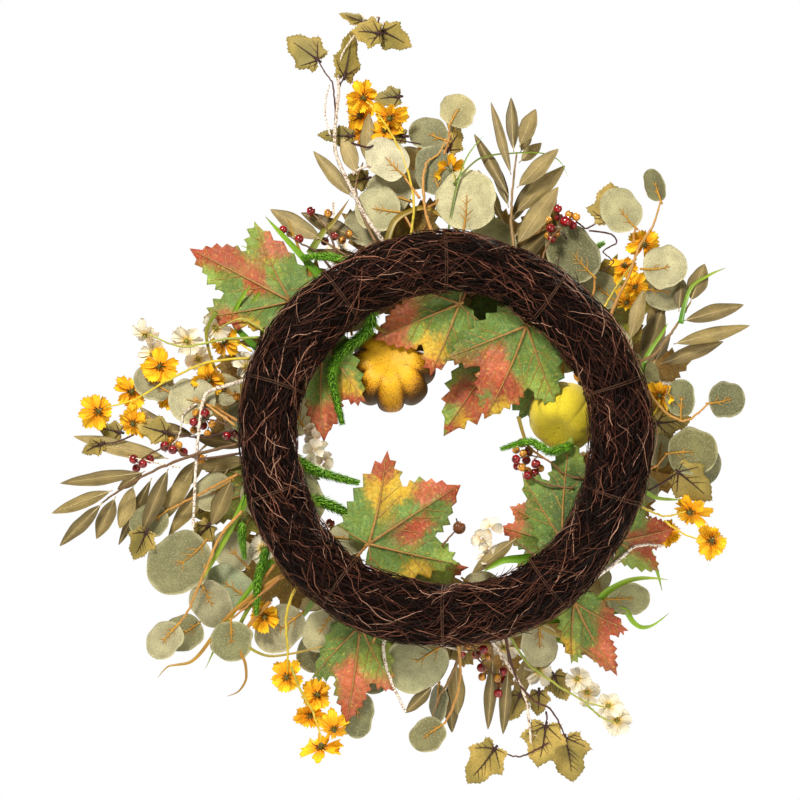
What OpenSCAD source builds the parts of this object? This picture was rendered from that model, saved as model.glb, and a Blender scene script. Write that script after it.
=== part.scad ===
// Harvest door wreath: a ring of bundled vines dressed with autumn leaves,
// eucalyptus, olive and ivy sprays, small flowers, berries and two gourds.
// Millimetres. The origin is the seat of the door hook, at the inner top of the
// vine ring. +Z is up, +Y faces away from the door, +X is to the right when the
// back of the wreath faces the viewer.

/* [Vine ring] */
// radius from the centre of the ring to the middle of its tube
ring_r = 152; // [120:1:200]
// radius of the bundled vines, across the scallops
ring_tube_r = 27; // [18:0.5:36]
// how deep the grooves between neighbouring vines are
vine_groove = 1.8; // [0:0.1:4]
// vines that show around the tube
vine_count = 12; // [8:1:20]
// binding wires around the ring
wire_count = 10; // [4:1:16]
// radius of a binding wire
wire_r = 0.8; // [0.5:0.1:1.5]

/* [Foliage] */
// thickness of every leaf blade
blade_t = 0.8; // [0.5:0.1:2]
// depth at which the dressing leaves the ring
foliage_y = 12; // [5:1:25]
// tilt of the leaves towards the front
leaf_pitch = 5; // [0:1:15]
// radius of a spray stem where it leaves the ring
stem_r = 1.6; // [1:0.1:3]
// how far the sprays lean to the front for each millimetre that they reach out
spray_lean = 0.14; // [0:0.02:0.3]
// length of the leaves on the front of the ring, as a share of the usual length
front_leaf_scale = 1; // [0.8:0.05:1.2]
// size of the eucalyptus, olive and ivy leaves on the door side, as a share of the usual size
leaf_scale = 1.05; // [0.9:0.05:1.1]
// width of an olive leaf on the door side, as a share of the usual width
olive_width = 1.25; // [0.9:0.05:1.4]

/* [Flowers and berries] */
// petals on a flower
petal_count = 8; // [5:1:10]
// width of the calyx under a flower
calyx_r = 4; // [2:0.5:6]
// size of the berries, as a share of the usual size
berry_scale = 1; // [0.8:0.05:1.2]

/* [Gourds] */
// radius of the golden pumpkin across its ribs
pumpkin_r = 39; // [28:0.5:42]
// ribs around the golden pumpkin
pumpkin_ribs = 8; // [6:1:14]
// radius of the felted green gourd
gourd_r = 31.5; // [24:0.5:34]
// ribs around the green gourd
gourd_ribs = 8; // [5:1:12]

/* [Hidden] */
// the ring's centre lies below the hook seat by the inner radius of the ring
drop = ring_r - ring_tube_r;

// ---- outlines, drawn from base to tip along +X for a length and a width of 1 ----

// round leaf with a short point
EUCALYPTUS = [[0, -0.03], [0.12, -0.3], [0.36, -0.49], [0.66, -0.45], [0.9, -0.22],
              [1, 0], [0.9, 0.22], [0.66, 0.45], [0.36, 0.49], [0.12, 0.3], [0, 0.03]];
// narrow lens
OLIVE = [[0, -0.07], [0.25, -0.4], [0.5, -0.5], [0.78, -0.32], [1, 0],
         [0.78, 0.32], [0.5, 0.5], [0.25, 0.4], [0, 0.07]];
// half of a five-lobed maple leaf; the other half mirrors it
MAPLE_HALF = [[0, 0.01], [-0.1, 0.14], [-0.13, 0.33], [0, 0.3], [0.06, 0.41], [0.17, 0.37],
              [0.27, 0.51], [0.38, 0.48], [0.57, 0.6], [0.53, 0.46], [0.6, 0.37], [0.49, 0.28],
              [0.49, 0.19], [0.63, 0.27], [0.71, 0.2], [0.8, 0.18], [0.84, 0.08], [1, 0]];
// half of a three-lobed ivy leaf
IVY_HALF = [[0, 0.02], [-0.1, 0.14], [-0.09, 0.36], [0.06, 0.34], [0.2, 0.5], [0.36, 0.56],
            [0.43, 0.42], [0.56, 0.32], [0.7, 0.31], [0.84, 0.16], [1, 0]];

function mirrored(half) = concat(
  [for (i = [0:len(half) - 1]) half[i]],
  [for (i = [len(half) - 2:-1:0]) [half[i][0], -half[i][1]]]);
MAPLE = mirrored(MAPLE_HALF);
IVY = mirrored(IVY_HALF);

// ---- building blocks ----

// everything below is placed from the ring's centre
module from_ring() { translate([0, 0, -drop]) children(); }

// sprays lean to the front as they reach out beyond the ring
function lean(x, z) = spray_lean * max(0, norm([x, z]) - ring_r - 5);
// and the leaves on them tip the same way
function lean_tip(x, z, dir) = norm([x, z]) < ring_r + 5 ? 0 : atan(spray_lean * cos(dir - atan2(z, x)));

// a flat leaf: p = [x, z, y, direction, length, width, pitch, roll]
module leaf(outline, p) {
  translate([p[0], p[2] + lean(p[0], p[1]), p[1]])
    rotate([0, -p[3], 0]) rotate([-90, 0, 0])
      rotate([0, -(p[6] == undef ? leaf_pitch : p[6]) - lean_tip(p[0], p[1], p[3]), 0]) rotate([p[7] == undef ? 0 : p[7], 0, 0])
        linear_extrude(height = blade_t)
          polygon([for (q = outline) [q[0] * p[4], q[1] * p[5]]]);
}

module leaves(outline, list, long = 1, wide = 1) {
  from_ring() for (p = list)
    leaf(outline, [p[0], p[1], p[2], p[3], p[4] * long, p[5] * wide, p[6], p[7]]);
}

function unit(v) = v / norm(v);
function clampi(i, n) = min(max(i, 0), n - 1);
// a smooth curve through the hand-placed points
function curve_at(p, i, t) =
  let (n = len(p), a = p[clampi(i - 1, n)], b = p[i], c = p[clampi(i + 1, n)], d = p[clampi(i + 2, n)])
  0.5 * (2 * b + (c - a) * t + (2 * a - 5 * b + 4 * c - d) * t * t + (3 * b - a - 3 * c + d) * t * t * t);
function curve(p, k) = len(p) < 3 ? p :
  concat([for (i = [0:len(p) - 2]) for (j = [0:k - 1]) curve_at(p, i, j / k)], [p[len(p) - 1]]);

// a tapered rod or flat blade along a curve through points [x, y, z];
// w0 and w1 are half widths at its ends, and flat is its thickness against its width
module sweep(points, w0, w1, flat = 1, sides = 6, k = 2) {
  c = curve(points, k);
  n = len(c);
  t = [for (i = [0:n - 1]) unit(c[clampi(i + 1, n)] - c[clampi(i - 1, n)])];
  side = [for (i = [0:n - 1]) unit(cross(t[i], [0.02, 1, 0.03]))];
  up = [for (i = [0:n - 1]) cross(side[i], t[i])];
  w = [for (i = [0:n - 1]) w0 + (w1 - w0) * i / (n - 1)];
  ring = [for (i = [0:n - 1]) for (j = [0:sides - 1])
    c[i] + w[i] * (cos(360 * j / sides) * side[i] + flat * sin(360 * j / sides) * up[i])];
  pts = concat(ring, [c[0] - t[0] * w[0] * 0.6], [c[n - 1] + t[n - 1] * w[n - 1] * 1.2]);
  faces = concat(
    [for (j = [0:sides - 1]) [n * sides, j, (j + 1) % sides]],
    [for (i = [0:n - 2]) for (j = [0:sides - 1])
      [i * sides + j, (i + 1) * sides + j, i * sides + (j + 1) % sides]],
    [for (i = [0:n - 2]) for (j = [0:sides - 1])
      [(i + 1) * sides + j, (i + 1) * sides + (j + 1) % sides, i * sides + (j + 1) % sides]],
    [for (j = [0:sides - 1]) [n * sides + 1, (n - 1) * sides + (j + 1) % sides, (n - 1) * sides + j]]);
  polyhedron(points = pts, faces = faces, convexity = 4);
}

// stems: rows of [start depth, end depth, start half width, end half width, [[x, z], ...]]
module stems(list, flat = 1, sides = 6, k = 2) {
  from_ring() for (s = list) {
    p = s[4];
    m = len(p);
    sweep([for (i = [0:m - 1]) [p[i][0], s[0] + (s[1] - s[0]) * i / (m - 1) + lean(p[i][0], p[i][1]), p[i][1]]],
      s[2], s[3], flat, sides, k);
  }
}

// a flower: petals around a calyx, p = [x, z, y, radius, tilt, turn]
module flower(p) {
  star = [for (i = [0:2 * petal_count - 1])
    p[3] * (i % 2 == 0 ? 1 : 0.55) * [cos(180 * i / petal_count), sin(180 * i / petal_count)]];
  translate([p[0], p[2] + lean(p[0], p[1]), p[1]])
    rotate([0, p[5], 0]) rotate([-90 + p[4], 0, 0]) {
      linear_extrude(height = blade_t) polygon(star);
      translate([0, 0, -calyx_r]) cylinder(r1 = 1.2, r2 = calyx_r * 0.9, h = calyx_r + 0.2, $fn = 24);
    }
}
module flowers(list) { from_ring() for (p = list) flower(p); }

// a ribbed gourd about its own axis
module ribbed(r, squash, ribs, depth, nu, nv) {
  body = [for (j = [1:nv - 1]) for (i = [0:nu - 1])
    let (lat = -90 + 180 * j / nv, lon = 360 * i / nu,
         g = 1 - depth * (1 - abs(cos(ribs * lon / 2))) * cos(lat),
         dip = 1 - 0.22 * pow(abs(sin(lat)), 8))
    [r * g * cos(lat) * cos(lon), r * g * cos(lat) * sin(lon), r * squash * sin(lat) * dip]];
  n = nu * (nv - 1);
  pts = concat(body, [[0, 0, -r * squash * 0.78]], [[0, 0, r * squash * 0.78]]);
  faces = concat(
    [for (i = [0:nu - 1]) [n, i, (i + 1) % nu]],
    [for (j = [0:nv - 3]) for (i = [0:nu - 1]) [j * nu + i, (j + 1) * nu + i, j * nu + (i + 1) % nu]],
    [for (j = [0:nv - 3]) for (i = [0:nu - 1]) [(j + 1) * nu + i, (j + 1) * nu + (i + 1) % nu, j * nu + (i + 1) % nu]],
    [for (i = [0:nu - 1]) [n + 1, (nv - 2) * nu + (i + 1) % nu, (nv - 2) * nu + i]]);
  polyhedron(points = pts, faces = faces, convexity = 4);
}

// points spread around the ring by a simple rule: i-th of n, layered in depth
function around(i, n, turn) = 360 * i / n + turn + 7 * sin(97 * i);
function front_leaf(i, n, turn, layers, y0, step, l, w) =
  let (a = around(i, n, turn), rb = ring_r - 14 + 20 * sin(131 * i))
  [rb * cos(a), rb * sin(a), y0 + step * (i % layers), a + 62 * sin(211 * i + 20),
   l * front_leaf_scale * (1 + 0.14 * sin(57 * i)), w * front_leaf_scale * (1 + 0.1 * sin(83 * i)),
   8 + 6 * sin(71 * i), 10 * sin(149 * i)];

// ---- vine ring ----

module vine_ring() color([0.24, 0.15, 0.11]) from_ring()
  rotate([90, 0, 0]) rotate_extrude($fn = 96) translate([ring_r, 0])
    polygon([for (i = [0:4 * vine_count - 1])
      let (a = 90 * i / vine_count, r = ring_tube_r - vine_groove * (1 - abs(sin(vine_count * a / 2 + 45))))
      r * [cos(a), sin(a)]]);

module binding_wires() color([0.35, 0.3, 0.26]) from_ring()
  for (i = [0:wire_count - 1]) rotate([0, -(360 * i / wire_count + 18), 0])
    translate([ring_r, 0, 0]) rotate_extrude($fn = 64) translate([ring_tube_r + wire_r + 0.1, 0]) circle(r = wire_r, $fn = 24);

// ---- gourds ----

module golden_pumpkin() color([0.93, 0.69, 0.08]) from_ring()
  translate([-46, 42, 61]) rotate([68, 0, 0]) ribbed(pumpkin_r, 0.8, pumpkin_ribs, 0.17, 40, 14);
module pumpkin_stalk() color([0.35, 0.25, 0.12]) from_ring()
  sweep([[-46, 66, 51], [-47, 76, 47], [-52, 85, 45]], 4, 3, 1, 6, 1);
module green_gourd() color([0.78, 0.72, 0.14]) from_ring()
  translate([104, 42, 20]) rotate([-50, 25, 0]) ribbed(gourd_r, 0.92, gourd_ribs, 0.05, 32, 12);
module gourd_stalk() color([0.4, 0.33, 0.14]) from_ring()
  sweep([[116, 64, 38], [120, 73, 44], [118, 82, 51]], 3.4, 2.4, 1, 6, 1);

// ---- maple leaves, one sub-part for each leaf on the door side ----

module maple_upper_left() color([0.72, 0.5, 0.32]) leaves(MAPLE, [[-132, 119, 14, 152.5, 105, 79, 6, 0]]);
module maple_inner_left() color([0.6, 0.62, 0.3]) leaves(MAPLE, [[-103, 82, 12, -91, 84, 62, -3, 6]]);
module maple_inner_top_left() color([0.78, 0.45, 0.36]) leaves(MAPLE, [[13, 117, 10, 203, 80, 80, 3, 0]]);
module maple_inner_top_right() color([0.7, 0.6, 0.32]) leaves(MAPLE, [[71, 98, 11, 246, 90, 88, 2, -4]]);
module maple_inner_top_rear() color([0.72, 0.62, 0.3]) leaves(MAPLE, [[76, 112, 34, 234, 134, 98, 3, 5]]);
module maple_inner_bottom_left() color([0.62, 0.6, 0.3]) leaves(MAPLE, [[-65, -90, 11, 33, 95, 98, 3, 0]]);
module maple_inner_bottom_rear() color([0.66, 0.55, 0.28]) leaves(MAPLE, [[-48, -117, 32, 5, 70, 50, 3, 0]]);
module maple_inner_bottom_right() color([0.66, 0.48, 0.3]) leaves(MAPLE, [[102, -87, 14, 86, 92, 68, 2, -12], [106, -94, 30, 162, 62, 50, 3, 0], [99, -80, 41, 152, 48, 46, 2, 0]]);
module maple_lower_left() color([0.8, 0.5, 0.4]) leaves(MAPLE, [[-72, -160, 12, -98, 90, 60, 4, 0]]);
module maple_lower_right() color([0.68, 0.62, 0.3]) leaves(MAPLE, [[112, -140, 12, -60, 78, 48, 4, 0]]);
module maple_right() color([0.74, 0.5, 0.36]) leaves(MAPLE, [[150, -88, 16, 12, 52, 56, 4, 8]]);
module maple_front_green() color([0.5, 0.6, 0.3]) leaves(MAPLE, [
  [-112, 92, 58, 128, 100, 94, 7, 6], [118, 108, 60, 18, 98, 90, 6, -5], [-20, -150, 58, -120, 96, 90, 7, 5],
  [-150, -40, 60, 200, 92, 84, 6, 4]], 0.86, 0.76);
module maple_front_gold() color([0.83, 0.66, 0.26]) leaves(MAPLE, [
  [-40, 150, 64, 98, 104, 96, 6, -6], [138, -18, 64, -12, 100, 92, 6, 6], [92, -120, 66, -62, 96, 90, 7, -5],
  [-128, -92, 66, 226, 98, 92, 6, 4]], 0.86, 0.76);
module maple_front_red() color([0.76, 0.32, 0.2]) leaves(MAPLE, [
  [60, 138, 70, 62, 98, 92, 6, 5], [140, 50, 72, 14, 94, 88, 6, 4], [-150, 30, 70, 172, 98, 92, 6, -4],
  [40, -142, 72, -80, 98, 90, 6, 5]], 0.86, 0.76);
module maple_stalks() color([0.6, 0.42, 0.25]) stems([
  [13, 14, 1.5, 1.1, [[-104, 104], [-118, 108], [-131, 118.4]]],
  [14, 12, 1.4, 1.1, [[-113, 96], [-106, 92], [-103.2, 81.4]]],
  [12, 10, 1.4, 1.1, [[18, 138], [19, 128], [14, 118.2]]],
  [13, 11, 1.4, 1.1, [[84, 122], [80, 112], [72, 99.6]]],
  [26, 34, 1.4, 1.1, [[94, 124], [88, 122], [77, 113.4]]],
  [14, 11, 1.4, 1.1, [[-84, -112], [-76, -102], [-66, -91]]],
  [26, 32, 1.4, 1.1, [[-66, -128], [-58, -122], [-49.4, -117]]],
  [14, 14, 1.4, 1.1, [[92, -110], [98, -100], [101.9, -88.6]]],
  [13, 12, 1.4, 1.1, [[-66, -138], [-68, -148], [-71.8, -158.6]]],
  [13, 12, 1.4, 1.1, [[98, -124], [106, -130], [111.2, -138.6]]],
  [15, 16, 1.4, 1.1, [[134, -88], [142, -92], [148.6, -88.4]]],
  [27, 57.4, 1.5, 1.1, [[-100, 100], [-104, 90], [-111.2, 91]]],
  [27, 59.4, 1.5, 1.1, [[106, 112], [108, 104], [116.8, 107]]],
  [27, 57.4, 1.5, 1.1, [[-12, -140], [-8, -146], [-18.9, -148.4]]],
  [26, 59.4, 1.5, 1.1, [[-146, -28], [-140, -34], [-148.6, -39.4]]],
  [27, 63.4, 1.5, 1.1, [[-36, 142], [-34, 140], [-39.8, 148.6]]],
  [27, 63.4, 1.5, 1.1, [[146, -24], [134, -12], [136.6, -17.6]]],
  [27, 65.4, 1.5, 1.1, [[96, -112], [84, -110], [91.2, -118.6]]],
  [27, 65.4, 1.5, 1.1, [[-118, -96], [-116, -82], [-127, -90.8]]],
  [27, 69.4, 1.5, 1.1, [[66, 136], [52, 128], [59.2, 136.6]]],
  [27, 71.4, 1.5, 1.1, [[140, 60], [130, 46], [138.6, 49.6]]],
  [27, 69.4, 1.5, 1.1, [[-148, 38], [-138, 24], [-148.5, 29.8]]],
  [27, 71.4, 1.5, 1.1, [[48, -140], [32, -132], [39.7, -140.4]]]], 1, 6, 2);

// ---- eucalyptus ----

module eucalyptus_top() color([0.64, 0.66, 0.5]) leaves(EUCALYPTUS, [
  [5, 272, 22, 60, 28, 31], [3, 258, 33, 160, 34, 28], [-35, 228, 16, 135, 40, 33], [17, 181, 14, 85, 52, 51],
  [-38, 196, 20, 172, 38, 38], [-30, 206, 34, 158, 38, 34], [-48, 180, 44, 170, 38, 32], [-2, 212, 24, 108, 42, 33],
  [9, 262, 48, 95, 30, 26, 4, 62], [-15, 220, 62, 126, 38, 32]], leaf_scale, leaf_scale);
module eucalyptus_right_upper() color([0.62, 0.64, 0.48]) leaves(EUCALYPTUS, [
  [165, 183, 16, 130, 38, 34], [187, 206, 24, 108, 28, 27, 4, 48], [129, 141, 30, 132, 52, 42],
  [172, 147, 20, 6, 37, 36], [174, 130, 32, -6, 36, 34], [150, 118, 44, 142, 36, 30]], leaf_scale, leaf_scale);
module eucalyptus_right_lower() color([0.63, 0.64, 0.48]) leaves(EUCALYPTUS, [
  [204, 20, 18, 86, 31, 27, 4, 20], [229, 31, 26, 12, 31, 31], [193, -12, 16, 4, 43, 40], [199, -20, 28, -2, 40, 38],
  [184, -25, 38, 80, 40, 26, 4, 35], [156, -40, 38, -12, 30, 26], [141, -138, 24, 2, 36, 28]], leaf_scale, leaf_scale);
module eucalyptus_bottom() color([0.62, 0.64, 0.48]) leaves(EUCALYPTUS, [
  [-0.4, -177, 16, 213, 55, 50], [-1, -246, 22, 215, 32, 28], [-4, -212, 34, -97, 32, 26, 4, 55], [82, -160, 26, -88, 36, 31],
  [-96, -149, 18, 238, 38, 30], [-98, -166, 32, 236, 40, 34], [-73, -218, 26, -94, 40, 27], [-58, -180, 38, 262, 40, 32],
  [-123, -150, 30, 217, 46, 36], [-99, -84, 26, -6, 32, 27]], leaf_scale, leaf_scale);
module eucalyptus_lower_left() color([0.6, 0.62, 0.46]) leaves(EUCALYPTUS, [
  [-206, -88, 18, 220, 59, 50], [-210, -123, 24, -65, 41, 34], [-230, -160, 16, 230, 35, 28], [-211, -158, 29, 214, 35, 31],
  [-184, -157, 15, -88, 34, 36], [-168, -138, 34, 148, 42, 34], [-170, -110, 45, 135, 37, 30]], leaf_scale, leaf_scale);
module eucalyptus_left() color([0.63, 0.6, 0.47]) leaves(EUCALYPTUS, [
  [-198, 28, 20, 165, 40, 39], [-236, 40, 30, 150, 35, 29], [-178, 36, 34, 150, 31, 27], [-184, -36, 22, 214, 35, 31],
  [-240, -62, 30, 210, 35, 29], [-128, -29, 18, -68, 43, 31]], leaf_scale, leaf_scale);
module eucalyptus_front() color([0.64, 0.66, 0.5]) leaves(EUCALYPTUS,
  [for (i = [0:26]) front_leaf(i, 27, 4, 3, 46, 15, 46, 42)]);
module eucalyptus_stems() color([0.72, 0.5, 0.27]) stems([
  [foliage_y, 28, stem_r, 0.8, [[-8, 172], [-14, 188], [-17, 203], [-18, 225], [-14, 240], [-5, 246], [2, 260]]],
  [14, 16, 1.2, 0.8, [[-21, 208], [-29, 219], [-34.4, 226.6]]],
  [16, 22, 1.1, 0.8, [[0, 246], [4, 258], [4.6, 270.4]]],
  [14, 22, 1.2, 0.8, [[-13.6, 200], [-7, 204], [-2.6, 210.4]]],
  [foliage_y, 14, 1.4, 0.8, [[12, 167], [15, 174], [16.9, 179.4]]],
  [foliage_y, 20, 1.4, 0.8, [[-24, 168], [-28, 182], [-36.4, 195.8]]],
  [foliage_y, 16, stem_r, 0.8, [[143, 106], [151, 125], [160, 143], [168, 166], [180, 184], [186.6, 204.6]]],
  [17, 16, 1.1, 0.8, [[164, 170], [163.6, 176], [164.9, 181.6]]],
  [14, 30, 1.2, 0.8, [[124, 114], [129, 128], [129.8, 139.6]]],
  [foliage_y, 18, 1.4, 0.8, [[172, 48], [188, 26], [206, 16], [218, 22], [227.6, 30.4]]],
  [foliage_y, 16, 1.3, 0.8, [[172, -28], [183, -22], [191.4, -12.6]]],
  [foliage_y, 18, 1.4, 0.8, [[4, -166], [3, -171], [1.2, -176]]],
  [foliage_y, 22, 1.4, 0.8, [[12, -176], [14, -204], [8, -230], [0.6, -244.6]]],
  [foliage_y, 30, 1.3, 0.8, [[-56, -162], [-66, -186], [-72, -204], [-72.8, -216.4]]],
  [foliage_y, 18, 1.3, 0.8, [[-88, -140], [-92, -144], [-95.2, -147.6]]],
  [foliage_y, 16, stem_r, 0.8, [[-174, -62], [-192, -82], [-202, -104], [-213, -130], [-222, -150], [-228.9, -158.8]]],
  [19, 24, 1.1, 0.8, [[-206, -108], [-208, -114], [-209.6, -121.6]]],
  [foliage_y, 34, 1.3, 0.8, [[-146, -108], [-158, -124], [-167, -136.6]]],
  [foliage_y, 15, 1.3, 0.8, [[-142, -120], [-168, -142], [-183.8, -155.4]]],
  [foliage_y, 20, 1.4, 0.8, [[-178, 16], [-188, 22], [-196.6, 27.6]]],
  [foliage_y, 30, 1.3, 0.8, [[-180, 12], [-212, 34], [-234.8, 39.2]]],
  [foliage_y, 30, 1.3, 0.8, [[-178, -30], [-212, -48], [-238.8, -61.2]]]], 1, 6, 2);

// ---- olive sprays ----

// an olive leaf given by its base, its tip, its width and its depth
function lens(bx, bz, tx, tz, w, y) =
  [bx, bz, y, atan2(tz - bz, tx - bx), norm([tx - bx, tz - bz]), w];

module olive_top_left() color([0.56, 0.52, 0.36]) leaves(OLIVE, [
  lens(-81, 211, -112, 248, 10, 18), lens(-76, 231, -88, 264, 12, 24), lens(-67, 241, -65, 281, 11, 30),
  lens(-107, 173, -149, 198, 13, 18), lens(-74, 173, -122, 195, 12, 26)], leaf_scale, olive_width);
module olive_top() color([0.56, 0.52, 0.36]) leaves(OLIVE, [
  lens(57, 231, 41, 290, 7, 16), lens(60, 251, 58, 295, 9, 22), lens(66, 255, 79, 285, 12, 16), lens(54, 213, 27, 262, 9, 20),
  lens(55, 203, 42, 243, 8, 28), lens(65, 219, 98, 250, 12, 16), lens(63.6, 197, 104, 236, 13, 26), lens(64, 170, 98, 217, 15, 20),
  lens(67, 241, 84, 256, 9, 30), lens(67, 250, 75, 266, 7, 36), lens(58, 188, 84, 232, 10, 46), lens(62, 176, 93, 206, 11, 42), lens(50, 190, 30, 232, 9, 40)], leaf_scale, olive_width);
module olive_right() color([0.55, 0.51, 0.35]) leaves(OLIVE, [
  lens(213.5, 121, 225, 151, 14, 18), lens(209, 103, 258, 116, 11.5, 16), lens(201, 83, 263, 98, 10.5, 22), lens(189, 66, 240, 84, 11, 28),
  lens(161, 88, 172, 128, 11, 18), lens(173, 64, 189, 113, 16, 34), lens(182, 68, 195, 91, 7, 16), lens(203, 113, 205, 134, 9, 28), lens(176, 98, 194, 128, 12, 42)], leaf_scale, olive_width);
module olive_left() color([0.56, 0.52, 0.36]) leaves(OLIVE, [
  lens(-241, -16, -318, 2, 12, 22), lens(-263, -29, -331, -38, 10, 16), lens(-289, -45, -339, -64, 10, 22), lens(-297, -57, -331, -91, 10, 16),
  lens(-285, -52, -300, -85, 12, 24), lens(-261, -29, -282, -43, 8, 34), lens(-269, -42, -280, -76, 12, 30), lens(-254, -36, -281, -90, 9, 40),
  lens(-239, -28, -260, -79, 12, 18), lens(-217, -25, -249, -76, 13, 26), lens(-198, -27, -237, -82, 13, 34), lens(-184, -37, -200, -73, 13, 16),
  lens(-228, -10, -262, 27, 12, 30), lens(-207, -16, -238, -50, 12, 46),
  lens(-188, -28, -212, -64, 11, 46), lens(-218, 4, -262, 12, 11, 44),
  lens(-172, -5, -216, 2, 11, 57), lens(-170, -18, -216, -24, 11, 57)], leaf_scale, olive_width);
module olive_bottom() color([0.55, 0.51, 0.35]) leaves(OLIVE, [
  lens(5, -211, 7, -253, 11, 34), lens(10, -195, 12, -238, 12, 28), lens(42, -192, 38, -250, 9, 18), lens(55, -202, 51, -254, 9, 16),
  lens(-11, -214, -33, -236, 9, 20), lens(60, -87, 26, -114, 11, 22), lens(72, -188, 63, -230, 11, 38)], leaf_scale, olive_width);
module olive_front() color([0.56, 0.52, 0.36]) leaves(OLIVE,
  [for (i = [0:32]) front_leaf(i, 33, 9, 3, 50, 14, 58, 13)]);
module olive_stems() color([0.47, 0.4, 0.27]) stems([
  [foliage_y, 30, stem_r, 0.7, [[-58, 168], [-72, 198], [-76, 220], [-70, 239]]],
  [foliage_y, 18, 1.3, 0.7, [[-84, 158], [-96, 166], [-105.6, 172]]],
  [foliage_y, 26, stem_r, 0.7, [[61, 160], [58, 185], [59, 215], [63, 248]]],
  [foliage_y, 18, stem_r, 0.7, [[166, 66], [182, 74], [196, 92], [206, 107], [213, 119]]],
  [foliage_y, 18, 1.3, 0.7, [[152, 66], [157, 76], [160.6, 86.6]]],
  [foliage_y, 18, stem_r, 0.7, [[-178, -4], [-203, -10], [-232, -19], [-262, -33], [-286, -48], [-296, -55.6]]],
  [foliage_y, 28, stem_r, 0.7, [[16, -174], [11, -192], [2, -212], [-4, -222], [-10, -240]]],
  [foliage_y, 18, 1.3, 0.7, [[38, -166], [41, -178], [42, -190.4]]],
  [foliage_y, 16, 1.3, 0.7, [[52, -162], [55, -180], [55.2, -200.4]]],
  [14, 22, 1.3, 0.7, [[82, -104], [70, -94], [61.2, -88]]],
  [27, 62, 1.6, 0.7, [[-60, 132], [-20, 150], [24, 152], [66, 140]]],
  [27, 62, 1.6, 0.7, [[112, 92], [140, 62], [150, 22], [148, -22]]],
  [27, 62, 1.6, 0.7, [[124, -78], [96, -116], [56, -140], [10, -150]]],
  [27, 62, 1.6, 0.7, [[-52, -134], [-96, -114], [-130, -76], [-148, -30]]],
  [27, 62, 1.6, 0.7, [[-142, 22], [-138, 62], [-112, 100], [-76, 128]]]], 1, 6, 2);

// ---- ivy ----

module ivy_top() color([0.68, 0.64, 0.32]) leaves(IVY, [
  [-109, 328, 20, 144, 35, 31], [-86, 314, 26, 78, 42, 26, 4, 30], [-56, 351, 18, 175, 24, 26], [-53, 353, 24, -28, 28, 26],
  [-70, 361, 30, 155, 22, 20, 4, 55], [-39, 296, 18, 186, 22, 20, 4, 10], [-80, 262, 26, 178, 30, 17], [-34, 262, 30, 175, 20, 18],
  [4, 250, 36, 60, 22, 20], [-66, 226, 40, 190, 22, 20], [-76, 124, 32, -14, 46, 30], [2, 132, 40, -28, 44, 34]], leaf_scale, leaf_scale);
module ivy_right() color([0.66, 0.62, 0.3]) leaves(IVY, [
  [144, 188, 22, 90, 35, 38], [184, 14, 30, 8, 32, 26], [202, -28, 18, -40, 40, 34], [104, 176, 34, 125, 30, 24]], leaf_scale, leaf_scale);
module ivy_bottom() color([0.67, 0.63, 0.31]) leaves(IVY, [
  [82, -218, 30, -92, 22, 20], [88, -247, 18, -100, 38, 36], [105, -258, 28, -80, 40, 37], [44, -267, 22, -128, 40, 33],
  [66, -220, 24, -112, 26, 22], [8, -178, 36, -50, 22, 20], [95, -204, 42, -62, 26, 24]], leaf_scale, leaf_scale);
module ivy_left() color([0.66, 0.64, 0.32]) leaves(IVY, [
  [-240, 6, 22, 165, 28, 24], [-280, 6, 30, 170, 20, 18], [-296, -4, 24, 205, 20, 16], [-257, -80, 20, -116, 27, 26, 4, 20],
  [-203, -74, 30, -130, 26, 22]], leaf_scale, leaf_scale);
module ivy_front() color([0.67, 0.63, 0.31]) leaves(IVY,
  [for (i = [0:13]) front_leaf(i, 14, 16, 2, 56, 16, 38, 34)]);
module ivy_vines() color([0.3, 0.17, 0.14]) stems([
  [16.5, 22, 1.0, 0.6, [[-53, 169], [-69, 193], [-83, 220], [-94.6, 250], [-94, 280], [-96, 306], [-102, 316], [-107.8, 325.8]]],
  [25, 26, 0.9, 0.6, [[-91, 303], [-89, 308], [-86.6, 312.6]]],
  [25, 19, 0.9, 0.6, [[-56, 365], [-57, 358], [-54.6, 352]]],
  [14, 30, 1.0, 0.6, [[-80, 256], [-66, 252], [-55, 257], [-45, 259], [-20, 255]]],
  [38, 24, 1.1, 0.6, [[98, 140], [102, 172], [113, 188], [122, 182], [133, 187], [143, 187]]],
  [14, 14, 0.8, 0.5, [[125, 180], [144, 177], [148, 169], [137, 162], [146, 153], [135, 144]]],
  [foliage_y, 30, 1.0, 0.6, [[174, -4], [180, 6], [183, 12.4]]],
  [foliage_y, 18, 1.0, 0.6, [[176, -44], [188, -38], [200.8, -28.8]]],
  [foliage_y, 18, 1.2, 0.6, [[52, -168], [62, -205], [78, -226], [90, -231], [99, -244], [104.2, -256.6]]],
  [21, 19, 0.9, 0.6, [[88, -235], [89, -240], [88.2, -245.4]]],
  [20, 22, 0.9, 0.6, [[90, -262], [76, -270], [62, -274], [45.4, -267.4]]],
  [foliage_y, 24, 1.1, 0.6, [[-180, 8], [-210, 2], [-238.6, 5.6]]],
  [22, 24, 0.9, 0.6, [[-268, 4], [-282, -2], [-294.6, -3.6]]]], 1, 6, 2);

// ---- flowers ----

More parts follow.
